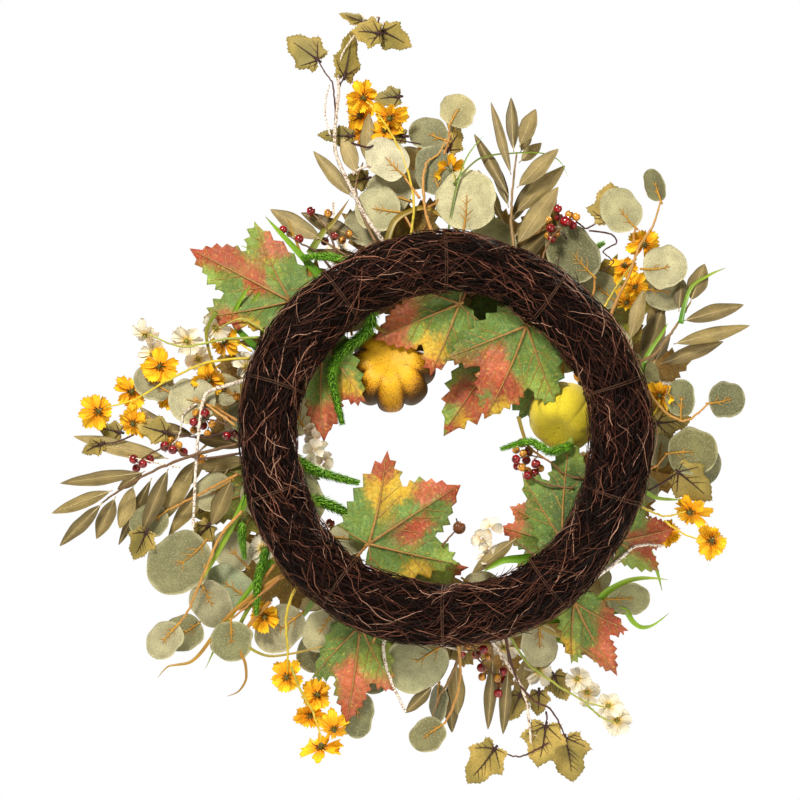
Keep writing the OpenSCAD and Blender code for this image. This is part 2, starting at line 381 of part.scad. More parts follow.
module orange_flowers_back() color([0.96, 0.66, 0.1]) flowers([
  [-70, 296, 26, 15, 18, 10], [-72, 281, 44, 15, -20, 0], [-47, 278, 18, 16, 25, 20], [-70, 264, 54, 15, 10, 0],
  [-51, 266, 31, 15, -15, 30], [5, 233, 26, 14, 20, 0], [-11, 251, 40, 14, -10, 15],
  [173, 168, 24, 15, 20, 0], [156, 150, 38, 13, -15, 10], [165, 132, 26, 12, 15, 0], [158, 119, 40, 12, 10, 25], [187, 38, 24, 14, 20, 0],
  [213, -62, 22, 16, 15, 10], [193, -80, 34, 15, -20, 0], [231, -88, 32, 16, 20, 20],
  [-299, 24, 24, 16, 15, 0], [-271, 41, 36, 16, -15, 10], [-268, 14, 26, 15, 20, 0], [-245, 63, 24, 16, 15, 20],
  [-237, 38, 40, 14, -10, 0], [-203, 51, 26, 15, 20, 10], [-190, 84, 30, 15, 10, 0],
  [-155, -153, 24, 14, 15, 0], [-136, -205, 22, 15, 20, 10], [-110, -221, 34, 15, -15, 0], [-116, -239, 46, 14, 10, 20],
  [-95, -250, 22, 15, 15, 0], [-106, -267, 34, 18, -20, 10]]);
module orange_flowers_front() color([0.96, 0.66, 0.1]) flowers(
  [for (i = [0:23]) let (a = around(i, 24, 3), r = ring_r + 16 * sin(143 * i) + 4)
    [r * cos(a), r * sin(a), 88 + 9 * (i % 2), 15 + 2 * sin(61 * i), 12 * sin(101 * i), 20 * sin(77 * i)]]);
module orange_flower_stems() color([0.75, 0.68, 0.2]) stems(concat([
  [foliage_y, 22, 1.2, 0.7, [[-30, 170], [-26, 205], [-36, 245], [-54, 277], [-67, 292]]],
  [18, 20, 0.9, 0.6, [[8, 166], [14, 200], [8, 230]]],
  [18, 20, 1.1, 0.7, [[136, 110], [150, 134], [166, 156]]],
  [foliage_y, 20, 1.0, 0.7, [[174, 14], [182, 24], [186, 34]]],
  [foliage_y, 18, 1.1, 0.7, [[170, -58], [190, -66], [208, -62]]],
  [16, 29, 1.0, 0.7, [[190, -70], [206, -81], [226, -88]]],
  [foliage_y, 18, 1.2, 0.7, [[-168, 70], [-205, 66], [-240, 50], [-268, 34], [-292, 28]]],
  [foliage_y, 28, 1.0, 0.7, [[-166, 76], [-178, 84], [-186, 84]]],
  [foliage_y, 20, 1.4, 0.8, [[-126, -124], [-136, -150], [-135, -178], [-135, -200]]],
  [16, 22, 1.2, 0.8, [[-132, -196], [-124, -216], [-113, -236], [-106, -258]]]],
  [for (i = [0:23]) let (a = around(i, 24, 3), r = ring_r + 16 * sin(143 * i) + 4)
    [26, 83 + 9 * (i % 2), 1.1, 0.7, [[ring_r * cos(a + 4), ring_r * sin(a + 4)], [(r + 3) * cos(a + 3), (r + 3) * sin(a + 3)], [r * cos(a), r * sin(a)]]]]), 1, 6, 2);

module white_flowers_back() color([0.95, 0.93, 0.86]) flowers([
  [-258, 90, 22, 13, 15, 0], [-252, 74, 34, 12.5, -15, 10], [-222, 85, 24, 13.5, 20, 0], [-213, 69, 38, 12, 10, 0],
  [-197, 96, 22, 13, 15, 20], [-171, 63, 36, 12, 10, 0], [-157, -94, 34, 14, 15, 0],
  [52, -180, 26, 12, 15, 0], [82, -200, 36, 13, -10, 0], [115, -207, 26, 12, 15, 10], [124, -219, 40, 12, 10, 0],
  [142, -230, 24, 12, 20, 0], [150, -243, 36, 12.5, -15, 20]]);
module white_flowers_front() color([0.95, 0.93, 0.86]) flowers(
  [for (i = [0:13]) let (a = around(i, 14, 14), r = ring_r + 34 * sin(97 * i + 60))
    [r * cos(a), r * sin(a), 82 + 8 * (i % 2), 13 + 1.5 * sin(61 * i), 12 * sin(83 * i), 20 * sin(59 * i)]]);
module white_flower_stems() color([0.6, 0.6, 0.25]) stems(concat([
  [foliage_y, 18, 1.2, 0.7, [[-160, 88], [-192, 86], [-226, 80], [-255, 91]]],
  [foliage_y, 18, 1.0, 0.7, [[-156, 94], [-174, 104], [-192, 97]]],
  [foliage_y, 18, 1.3, 0.7, [[56, -168], [72, -193], [92, -208], [118, -224], [138, -231]]],
  [16, 30, 1.0, 0.7, [[122, -228], [136, -240], [147, -244.6]]]],
  [for (i = [0:13]) let (a = around(i, 14, 14), r = ring_r + 34 * sin(97 * i + 60), q = ring_r + 12 * sin(97 * i + 60))
    [24, 77 + 8 * (i % 2), 1.1, 0.7, [[q * cos(a - 4), q * sin(a - 4)], [(r + q) / 2 * cos(a - 2), (r + q) / 2 * sin(a - 2)], [r * cos(a), r * sin(a)]]]]), 1, 6, 2);
module cream_petals() color([0.93, 0.88, 0.78]) leaves(EUCALYPTUS, [
  [48, -79, 22, 165, 17, 14], [40, -84, 30, 190, 16, 12], [46, -95, 22, 175, 15, 12], [38, -105, 28, 160, 13, 11],
  [-104, -12, 22, 165, 18, 15], [-112, -22, 30, 190, 16, 13], [-103, -31, 22, 160, 16, 12],
  [-100, -3, 30, 168, 18, 14], [-96, -20, 38, 175, 16, 13], [-107, 4, 38, 150, 15, 12]]);
module orange_buds() color([0.83, 0.48, 0.14]) from_ring() {
  translate([117, 8, 55]) sphere(r = 5.5, $fn = 32);
  translate([13, 16, -76]) sphere(r = 5.5, $fn = 32);
  translate([78, 12, -106]) sphere(r = 5.5, $fn = 32);
  translate([-179, 30, 37]) sphere(r = 3.4, $fn = 32);
  translate([-210, 32, -17]) sphere(r = 4.2, $fn = 32);
}

// ---- berries: [x, z, y, radius] ----

module berries(list) { from_ring() for (p = list) translate([p[0], p[2] + lean(p[0], p[1]), p[1]]) sphere(r = p[3] * berry_scale, $fn = 32); }
module red_berries() color([0.6, 0.09, 0.14]) berries(concat([
  [-139, 181, 20, 3.4], [-137, 188, 28, 3.2], [-125, 173, 20, 3.6], [-115, 197, 22, 3.6], [-95, 175, 18, 3.4], [-103, 171, 28, 3.4],
  [98, 199, 20, 3.6], [99, 192, 28, 3.4], [105, 188, 18, 4.5], [111, 185, 28, 3.6], [92, 182, 20, 3.6], [93, 173, 20, 3.4],
  [-206, 23, 14, 3.6], [-216, 15, 20, 3.6], [-208, 12, 28, 3.6], [-187, 3, 14, 3.6], [-181, 5, 22, 3.4],
  [-241, -6, 20, 4], [-234, -9, 12, 3.6], [-225, -11, 24, 3.6], [-268, -17, 20, 3.8], [-260, -21, 12, 3.6], [-254, -17, 24, 3.6], [-266, -25, 30, 3.4],
  [67, -3, 18, 3.8], [73, -10, 26, 3.8], [82, -6, 18, 3.6], [62, -17, 18, 3.6], [71, -18, 34, 3.6], [63, -23, 28, 3.4], [79, -21, 22, 3.8], [78, -29, 30, 3.6], [72, -31, 20, 3.6],
  [34, -181, 18, 3.8], [28, -186, 26, 3.6], [15, -185, 20, 3.6], [32, -197, 20, 3.6], [51, -200, 22, 3.6], [52, -208, 28, 3.6], [47, -219, 22, 3.8]],
  [for (i = [0:25]) let (a = around(i, 26, 7), r = ring_r - 8 + 22 * sin(163 * i)) [r * cos(a), r * sin(a), 72 + 10 * (i % 3), 3.8]]));
module amber_berries() color([0.78, 0.54, 0.16]) berries(concat([
  [-133, 178, 27, 3.2], [-100, 195, 20, 3.4], [-88, 172, 24, 3.4], [-82, 177, 16, 3.2],
  [108, 194, 24, 3.4], [114, 192, 20, 3.4], [90, 189, 26, 3.4], [90, 176, 28, 3.2], [97, 178, 26, 3.2],
  [-214, 23, 20, 3.2], [-216, 8, 28, 3.2], [-200, 13, 16, 3.2], [-204, 5, 22, 3.2], [-187, 18, 18, 3.2], [-236, -1, 26, 3.4], [-229, -5, 18, 3.2], [-272, -13, 28, 3.2],
  [62, -9, 26, 3.2], [68, -12, 18, 3.2], [67, -24, 18, 3.4], [83, -25, 30, 3.2], [72, -27, 26, 3.2],
  [20, -178, 24, 3.4], [38, -188, 20, 3.2], [33, -205, 26, 3.4], [46, -206, 18, 3.2], [46, -213, 28, 3.2]],
  [for (i = [0:15]) let (a = around(i, 16, 19), r = ring_r - 4 + 26 * sin(127 * i)) [r * cos(a), r * sin(a), 74 + 9 * (i % 3), 3.4]]));
module berry_stems() color([0.45, 0.3, 0.18]) stems(concat([
  [foliage_y, 20, 1.1, 0.6, [[-98, 148], [-110, 162], [-122, 168], [-134, 176]]],
  [foliage_y, 20, 1.0, 0.6, [[-92, 158], [-100, 180], [-112, 193.6]]],
  [foliage_y, 20, 1.1, 0.6, [[84, 146], [86, 160], [94, 176], [103, 184]]],
  [foliage_y, 18, 1.1, 0.6, [[-176, -2], [-184, 10], [-196, 16], [-210, 18]]],
  [foliage_y, 18, 1.1, 0.6, [[-176, -12], [-204, -16], [-222, -14], [-238, -6], [-256, -14], [-264, -20]]],
  [16, 22, 1.1, 0.6, [[120, -34], [104, -30], [90, -18], [76, -14]]],
  [16, 26, 1.0, 0.6, [[112, -42], [94, -40], [80, -36], [69, -27.4]]],
  [18, 16.6, 1.0, 0.6, [[-2, -92], [4, -85], [9.4, -79]]],
  [foliage_y, 20, 1.1, 0.6, [[22, -172], [26, -180], [30, -190], [42, -202], [46, -215]]]],
  [for (i = [0:25]) let (a = around(i, 26, 7), r = ring_r - 8 + 22 * sin(163 * i), q = ring_r + 8 * sin(163 * i))
    [26, 68 + 10 * (i % 3), 0.8, 0.6, [[q * cos(a), q * sin(a)], [r * cos(a), r * sin(a)]]]],
  [for (i = [0:15]) let (a = around(i, 16, 19), r = ring_r - 4 + 26 * sin(127 * i), q = ring_r + 8 * sin(127 * i))
    [26, 70 + 9 * (i % 3), 0.8, 0.6, [[q * cos(a), q * sin(a)], [r * cos(a), r * sin(a)]]]]), 1, 5, 1);

// ---- blades, picks and twigs ----

module green_blades() color([0.42, 0.64, 0.12]) stems([
  [20, 16, 4, 1.2, [[-106, 140], [-128, 164], [-154, 192]]],
  [18, 22, 3.4, 1, [[-144, 86], [-166, 110], [-154, 130], [-140, 148], [-128, 158]]],
  [26, 14, 3.2, 1, [[-158, 76], [-180, 98], [-178, 116], [-166, 134]]],
  [12, 20, 3.6, 1, [[-168, -46], [-190, -88], [-208, -121]]],
  [16, 20, 4, 1, [[108, -152], [125, -146], [141, -131], [158, -122], [175, -119.5], [193, -121]]],
  [26, 20, 4, 1, [[72, -156], [108, -154], [140, -149], [156, -148], [162, -156], [170, -162], [181, -160], [194, -150]]],
  [32, 35, 4, 1, [[66, -160], [92, -171], [118, -180]]],
  [14, 26, 2.6, 0.8, [[168, 46], [174, 70], [187, 90], [193, 100]]],
  [16, 22, 2.6, 0.8, [[166, -38], [182, -50], [206, -52]]],
  [18, 14, 4.6, 1.2, [[76, -103], [52, -104], [34, -114]]],
  [16, 18, 3, 1, [[-136, -26], [-122, -44], [-107, -57]]],
  [14, 22, 2.4, 0.8, [[2, 168], [10, 214], [20, 244], [34, 262]]],
  [20, 26, 2.6, 0.8, [[-148, -104], [-182, -150], [-206, -198]]],
  [14, 22, 2.4, 0.8, [[204, 100], [214, 132], [243, 148]]],
  [28, 92, 3.4, 1, [[-96, 120], [-130, 150], [-176, 168]]],
  [28, 96, 3.4, 1, [[30, 150], [44, 182], [36, 214]]],
  [28, 92, 3.4, 1, [[144, -60], [176, -92], [190, -132]]],
  [28, 94, 3.4, 1, [[-100, -112], [-120, -150], [-150, -176]]]], 0.22, 6, 2);
module autumn_blades() color([0.72, 0.42, 0.16]) stems([
  [16, 22, 3.2, 1, [[-50, 166], [-42, 189], [-17, 200], [5, 187], [15, 174]]],
  [20, 16, 3.4, 1, [[-116, 160], [-105, 178], [-95, 188], [-82, 207]]],
  [18, 24, 1.8, 0.6, [[8, 220], [30, 242], [60, 247], [85, 247], [100, 240], [107, 227]]],
  [22, 18, 1.8, 0.6, [[-112, 134], [-124, 162], [-136, 192]]],
  [20, 14, 2.6, 0.8, [[-126, -116], [-142, -119], [-170, -139], [-189, -156], [-209, -183], [-221, -193], [-238, -196], [-247, -206]]],
  [24, 16, 2, 0.6, [[-160, -132], [-176, -160], [-172, -176], [-150, -187], [-115, -181], [-103, -178]]],
  [18, 22, 2, 0.6, [[-150, -140], [-168, -160], [-176, -180], [-172, -192], [-171, -207], [-178, -218], [-188, -222]]],
  [14, 20, 2, 0.6, [[76, -158], [110, -175], [137, -192]]],
  [20, 14, 3, 0.9, [[-74, 119], [-58, 97], [-48, 92]]],
  [24, 16, 1.8, 0.6, [[64, 20], [71, -3], [80, -12], [93, -20]]],
  [14, 22, 2, 0.6, [[-196, 110], [-205, 92], [-198, 62], [-186, 48]]],
  [28, 94, 3, 0.9, [[-20, 152], [-30, 186], [-62, 212]]],
  [28, 92, 3, 0.9, [[132, 84], [168, 104], [196, 138]]],
  [28, 94, 3, 0.9, [[-146, 6], [-186, 8], [-216, -14]]],
  [28, 92, 3, 0.9, [[16, -150], [4, -186], [-22, -208]]]], 0.24, 6, 2);
module fuzzy_picks() color([0.3, 0.58, 0.08]) stems([
  [9, 4, 5.2, 3.2, [[-62, 118], [-64, 99], [-75, 86], [-88, 75], [-96, 58], [-94, 40], [-88, 15]]],
  [16, 12, 3.6, 2.4, [[112, -4], [92, -10], [74, -2], [50, -8]]],
  [16, 14, 5, 3, [[-138, -10], [-124, -20], [-105, -29], [-75, -37]]],
  [24, 20, 5.2, 3.6, [[-122, -52], [-105, -54], [-83, -64]]],
  [18, 14, 4, 2.4, [[-152, -92], [-160, -120], [-162, -150]]],
  [14, 18, 3.4, 2, [[-174, -70], [-174, -86], [-172, -102]]],
  [13, 12, 3.6, 2.4, [[-78, 150], [-98, 157], [-122, 157]]],
  [28, 90, 4.2, 2.4, [[-118, 78], [-150, 92], [-172, 118]]],
  [28, 90, 4.2, 2.4, [[92, 124], [110, 152], [138, 170]]],
  [28, 90, 4.2, 2.4, [[70, -134], [84, -164], [72, -190]]]], 1, 6, 2);
module birch_twigs() color([0.9, 0.87, 0.83]) stems([
  [foliage_y, 24, 2.0, 1.2, [[-52, 170], [-68, 193], [-82, 220], [-94, 250], [-93, 280], [-91, 300], [-92, 317]]],
  [18, 26, 0.9, 0.6, [[-98, 262], [-103, 285], [-99, 306]]],
  [14, 20, 1.4, 0.9, [[-79, 229], [-72, 234], [-63, 236]]],
  [24, 26, 0.9, 0.6, [[-91, 323], [-86, 337], [-70, 358], [-56, 366]]],
  [foliage_y, 20, 1.8, 1.2, [[-172, 51], [-192, 45], [-205, 39], [-210, 20], [-213, -8], [-215, -42], [-217, -85]]],
  [19, 23, 0.9, 0.6, [[-213.5, 31], [-225, 21], [-229, 2], [-241, -11]]],
  [14, 18, 0.8, 0.5, [[-228, -24], [-250, -20], [-272, -15]]],
  [foliage_y, 18, 1.8, 1, [[-50, -166], [-52, -185], [-45, -210], [-33, -235]]],
  [14, 16, 1.6, 1, [[-30, -168], [-10, -175], [20, -183]]],
  [foliage_y, 16, 1.8, 1, [[40, -172], [56, -196], [70, -222], [75, -262]]],
  [foliage_y, 18, 2, 1, [[112, -132], [148, -106], [165, -92], [190, -92]]],
  [28, 96, 2, 1, [[-60, 138], [-90, 168], [-96, 206]]],
  [28, 94, 2, 1, [[150, 30], [182, 48], [212, 46]]],
  [28, 96, 2, 1, [[-30, -146], [-56, -178], [-60, -212]]]], 1, 6, 2);

vine_ring();
binding_wires();
golden_pumpkin();
pumpkin_stalk();
green_gourd();
gourd_stalk();
maple_upper_left();
maple_inner_left();
maple_inner_top_left();
maple_inner_top_right();
maple_inner_top_rear();
maple_inner_bottom_left();
maple_inner_bottom_rear();
maple_inner_bottom_right();
maple_lower_left();
maple_lower_right();
maple_right();
maple_front_green();
maple_front_gold();
maple_front_red();
maple_stalks();
eucalyptus_top();
eucalyptus_right_upper();
eucalyptus_right_lower();
eucalyptus_bottom();
eucalyptus_lower_left();
eucalyptus_left();
eucalyptus_front();
eucalyptus_stems();
olive_top_left();
olive_top();
olive_right();
olive_left();
olive_bottom();
olive_front();
olive_stems();
ivy_top();
ivy_right();
ivy_bottom();
ivy_left();
ivy_front();
ivy_vines();
orange_flowers_back();
orange_flowers_front();
orange_flower_stems();
white_flowers_back();
white_flowers_front();
white_flower_stems();
cream_petals();
orange_buds();
red_berries();
amber_berries();
berry_stems();
green_blades();
autumn_blades();
fuzzy_picks();
birch_twigs();
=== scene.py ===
import math
import zlib

import bpy
import numpy as np
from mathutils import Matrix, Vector
from mathutils.geometry import delaunay_2d_cdt

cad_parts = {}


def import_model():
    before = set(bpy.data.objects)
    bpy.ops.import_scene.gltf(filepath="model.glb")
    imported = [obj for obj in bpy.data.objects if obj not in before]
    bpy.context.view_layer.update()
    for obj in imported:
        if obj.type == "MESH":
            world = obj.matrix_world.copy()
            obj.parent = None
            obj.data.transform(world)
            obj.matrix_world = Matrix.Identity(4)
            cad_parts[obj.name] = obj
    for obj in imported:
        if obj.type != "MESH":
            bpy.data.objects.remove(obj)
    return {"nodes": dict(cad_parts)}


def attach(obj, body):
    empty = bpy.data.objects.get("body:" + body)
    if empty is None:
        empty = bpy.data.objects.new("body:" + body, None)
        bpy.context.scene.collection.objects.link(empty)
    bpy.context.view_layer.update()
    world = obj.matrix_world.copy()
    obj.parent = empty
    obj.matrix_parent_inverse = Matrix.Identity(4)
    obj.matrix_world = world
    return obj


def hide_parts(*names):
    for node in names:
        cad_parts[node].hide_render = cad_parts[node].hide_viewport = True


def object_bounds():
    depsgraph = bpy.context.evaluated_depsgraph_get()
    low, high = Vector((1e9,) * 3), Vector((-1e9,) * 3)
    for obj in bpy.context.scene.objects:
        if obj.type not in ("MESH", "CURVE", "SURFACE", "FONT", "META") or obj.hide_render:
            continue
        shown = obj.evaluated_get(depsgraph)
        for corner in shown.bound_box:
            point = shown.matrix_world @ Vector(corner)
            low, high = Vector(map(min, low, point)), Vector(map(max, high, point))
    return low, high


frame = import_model()
cad_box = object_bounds()

TURN = 2 * math.pi
CENTRE = np.array([0.0, 0.0, -0.125])   # middle of the vine ring
RING_R = 0.152                          # from there to the middle of the bundle
BUNDLE_R = 0.026                        # radius at which twigs wind round the bundle
BACK = -1.0                             # veins and ribs stand out on the door side of a leaf
NEEDLE_REACH = 1.95                     # needle length against the radius of the CAD pick
SIDE_VEIN_GAP = 0.0024                  # between the fine side veins of a round leaf
PUMPKIN_R = 0.039                       # radius of the CAD pumpkin
PUMPKIN_RIBS, PUMPKIN_AXIS = 8, (0, -0.927, 0.375)
GOURD_RIBS, GOURD_AXIS = 8, (0.272, 0.766, 0.583)


# ---------------------------------------------------------------- colours

def lin(hexcode):
    """An sRGB hex colour as linear values."""
    c = np.array([int(hexcode[i:i + 2], 16) / 255 for i in (1, 3, 5)])
    return np.where(c <= 0.04045, c / 12.92, ((c + 0.055) / 1.055) ** 2.4)


def lins(hexcodes):
    """Several colours, written with spaces between them."""
    return [lin(h) for h in hexcodes.split()]


def rng_for(name):
    return np.random.default_rng(zlib.crc32(name.encode()))


def unit(v):
    """A vector, or each row of an array of vectors, at length 1."""
    return v / (np.linalg.norm(v, axis=-1, keepdims=True) + 1e-12)


# ---------------------------------------------------------------- CAD islands

def islands(node):
    """The separate solids of a CAD node, each as (points, triangles), in a fixed order."""
    me = frame["nodes"][node].data
    co = np.empty(len(me.vertices) * 3)
    me.vertices.foreach_get("co", co)
    co = co.reshape(-1, 3)
    me.calc_loop_triangles()
    tri = np.empty(len(me.loop_triangles) * 3, int)
    me.loop_triangles.foreach_get("vertices", tri)
    tri = tri.reshape(-1, 3)
    _, first, inv = np.unique(np.round(co / 2e-5).astype(np.int64), axis=0,
                              return_index=True, return_inverse=True)
    inv = inv.reshape(-1)
    pts, tri = co[first], inv[tri]
    label = np.arange(len(pts))
    while True:
        low = label[tri].min(1)
        new = label.copy()
        for k in range(3):
            np.minimum.at(new, tri[:, k], low)
        if (new == label).all():
            break
        label = new
    out = []
    for lab in np.unique(label[tri[:, 0]]):
        ids = np.flatnonzero(label == lab)
        back = np.full(len(pts), -1)
        back[ids] = np.arange(len(ids))
        out.append((pts[ids], back[tri[label[tri[:, 0]] == lab]]))
    out.sort(key=lambda i: tuple(np.round(i[0].mean(0), 4)))
    return out


def leaf_frame(pts):
    """Origin at the leaf's base, its axes (tip, side, front) and its length and width."""
    mid = pts.mean(0)
    _, _, vt = np.linalg.svd(pts - mid, full_matrices=False)
    n = vt[2] * (1 if vt[2][1] > 0 else -1)
    flat = pts - np.outer((pts - mid) @ n, n)
    keep = []
    for p in flat:
        if all(np.linalg.norm(p - q) > 2e-4 for q in keep):
            keep.append(p)
    flat = np.array(keep)
    d = np.linalg.norm(flat[:, None] - flat[None], axis=2) + np.eye(len(flat))
    i, j = np.unravel_index(d.argmin(), d.shape)
    base = (flat[i] + flat[j]) / 2
    tip = flat[np.linalg.norm(flat - base, axis=1).argmax()]
    x = (tip - base) / np.linalg.norm(tip - base)
    y = np.cross(n, x)
    side = (flat - base) @ y
    return base, np.array([x, y, n]), np.linalg.norm(tip - base), side.max() - side.min()


def centreline(pts, tri):
    """A swept solid's rings, from its thick end: their centres and vertex sets."""
    nb = [set() for _ in pts]
    for a, b, c in tri:
        nb[a] |= {b, c}
        nb[b] |= {a, c}
        nb[c] |= {a, b}
    mid = pts.mean(0)
    far = np.linalg.norm(pts - mid, axis=1).argmax()
    for _ in range(2):                       # to the far end and back
        seen, layer, layers = {far}, [far], [[far]]
        while layer:
            nxt = sorted({q for p in layer for q in nb[p]} - seen)
            seen |= set(nxt)
            if nxt:
                layers.append(nxt)
            layer = nxt
        if len(layers[-1]) == 1:
            far = layers[-1][0]
    rings = [l for l in layers if len(l) >= 3] or layers
    cen = np.array([pts[l].mean(0) for l in rings])
    rad = np.array([np.linalg.norm(pts[l] - pts[l].mean(0), axis=1).mean() for l in rings])
    if rad[0] < rad[-1]:
        rings, cen, rad = rings[::-1], cen[::-1], rad[::-1]
    return cen, rad, [pts[l] for l in rings]


# ---------------------------------------------------------------- mesh building

class Piece:
    """One Blender mesh, gathered from many parts, with a colour and a leaf-space UV on each point."""

    def __init__(self, name):
        self.name, self.n = name, 0
        self.v, self.c, self.uv, self.q, self.t, self.qm, self.tm = [], [], [], [], [], [], []

    def add(self, v, quads=(), tris=(), col=(1, 1, 1), uv=None, mat=0):
        self.v.append(v)
        self.c.append(np.broadcast_to(col, (len(v), 3)))
        self.uv.append(np.zeros((len(v), 2)) if uv is None else uv)
        for faces, store, mats in ((quads, self.q, self.qm), (tris, self.t, self.tm)):
            if len(faces):
                store.append(np.asarray(faces, int) + self.n)
                mats.append(np.full(len(faces), mat))
        self.n += len(v)

    def rod(self, path, radius, sides, col, mat=0):
        """Adds a tube."""
        self.add(*tube(path, radius, sides), col=col, mat=mat)

    def sheet(self, front, back, faces, loop, col, back_col, uv):
        """Adds a sheet's front, its back and the edge between them along the points in loop."""
        n = len(front)
        after = np.roll(loop, -1)
        rim = np.stack([loop, loop + n, after + n, after], 1)
        both = np.vstack([faces, faces[:, ::-1] + n])
        quads, tris = (np.vstack([both, rim]), ()) if faces.shape[1] == 4 else (rim, both)
        self.add(np.vstack([front, back]), quads, tris, np.vstack([col, back_col]), np.vstack([uv, uv]))

    def make(self, mats, node):
        """Builds the mesh, and says what it rides on and which CAD node it replaces."""
        v, c, uv = np.concatenate(self.v), np.concatenate(self.c), np.concatenate(self.uv)
        q = np.concatenate(self.q) if self.q else np.zeros((0, 4), int)
        t = np.concatenate(self.t) if self.t else np.zeros((0, 3), int)
        loops = np.concatenate([q.ravel(), t.ravel()])
        start = np.concatenate([np.arange(len(q)) * 4, len(q) * 4 + np.arange(len(t)) * 3])
        me = bpy.data.meshes.new(self.name)
        me.vertices.add(len(v))
        me.vertices.foreach_set("co", v.ravel())
        me.loops.add(len(loops))
        me.loops.foreach_set("vertex_index", loops.astype(np.int32))
        me.polygons.add(len(start))
        me.polygons.foreach_set("loop_start", start.astype(np.int32))
        me.polygons.foreach_set("material_index", np.concatenate(self.qm + self.tm).astype(np.int32))
        me.polygons.foreach_set("use_smooth", np.full(len(start), True))
        me.update(calc_edges=True)
        me.validate()
        idx = np.empty(len(me.loops), np.int32)
        me.loops.foreach_get("vertex_index", idx)
        me.uv_layers.new(name="UVMap").data.foreach_set("uv", uv[idx].ravel())
        att = me.color_attributes.new("Col", "FLOAT_COLOR", "POINT")
        att.data.foreach_set("color", np.hstack([c, np.ones((len(c), 1))]).ravel())
        for mat in mats:
            me.materials.append(mat)
        ob = bpy.data.objects.new(self.name, me)
        bpy.context.scene.collection.objects.link(ob)
        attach(ob, "root")
        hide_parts(node)


def smooth_path(p, k):
    """Catmull-Rom points through p, k for each span."""
    p = np.asarray(p, float)
    if len(p) < 3:
        t = np.linspace(0, 1, k + 1)[:, None]
        return p[0] + (p[-1] - p[0]) * t
    e = np.vstack([2 * p[0] - p[1], p, 2 * p[-1] - p[-2]])
    t = (np.arange(k) / k)[:, None]
    out = []
    for i in range(1, len(e) - 2):
        a, b, c, d = e[i - 1], e[i], e[i + 1], e[i + 2]
        out.append(0.5 * (2 * b + (c - a) * t + (2 * a - 5 * b + 4 * c - d) * t ** 2
                          + (3 * b - a - 3 * c + d) * t ** 3))
    return np.vstack(out + [p[-1:]])


def skin(rows, cols, closed=False):
    """Quads over rows of cols points that wrap round, and fans to a point added at each end."""
    i, j = np.meshgrid(np.arange(rows if closed else rows - 1), np.arange(cols), indexing="ij")
    k = (j + 1) % cols
    near, far = i * cols, (i + 1) % rows * cols
    quads = np.stack([near + j, near + k, far + k, far + j], -1).reshape(-1, 4)
    s = np.arange(cols)
    k = (s + 1) % cols
    end = rows * cols
    first = np.stack([np.full(cols, end), k, s], 1)
    last = np.stack([np.full(cols, end + 1), end - cols + s, end - cols + k], 1)
    return quads, np.vstack([first, last])


def tube(p, radius, sides):
    """A closed tube round a path, with one radius or one for each point."""
    n = len(p)
    r = np.broadcast_to(radius, (n,))
    t = unit(np.gradient(p, axis=0))
    a = np.empty((n, 3))
    u = np.eye(3)[np.abs(t[0]).argmin()]
    for i in range(n):
        u = unit(u - t[i] * (u @ t[i]))
        a[i] = u
    b = np.cross(t, a)
    ang = (np.arange(sides) * TURN / sides)[None, :, None]
    ring = np.cos(ang) * a[:, None] + np.sin(ang) * b[:, None]
    v = (p[:, None] + ring * r[:, None, None]).reshape(-1, 3)
    v = np.vstack([v, p[0] - t[0] * r[0] * 0.5, p[-1] + t[-1] * r[-1] * 0.7])
    return v, *skin(n, sides)


def grid_sheet(nu, nv):
    """Quads over nu rows of nv points, and the points round the edge in order."""
    g = np.arange(nu * nv).reshape(nu, nv)
    quads = np.stack([g[:-1, :-1], g[1:, :-1], g[1:, 1:], g[:-1, 1:]], -1).reshape(-1, 4)
    return quads, np.concatenate([g[0], g[1:, -1], g[-1, -2::-1], g[-2:0:-1, 0]])


def wobble(rng, scale, amp):
    """A smooth random field over a plane: a few sine waves."""
    k = rng.normal(0, 1, (4, 2)) / scale
    ph = rng.uniform(0, 6.28, 4)
    w = rng.uniform(0.4, 1, 4)
    return lambda x, y: amp * sum(w[i] * np.sin(k[i, 0] * x + k[i, 1] * y + ph[i]) for i in range(4)) / 2


# ---------------------------------------------------------------- materials

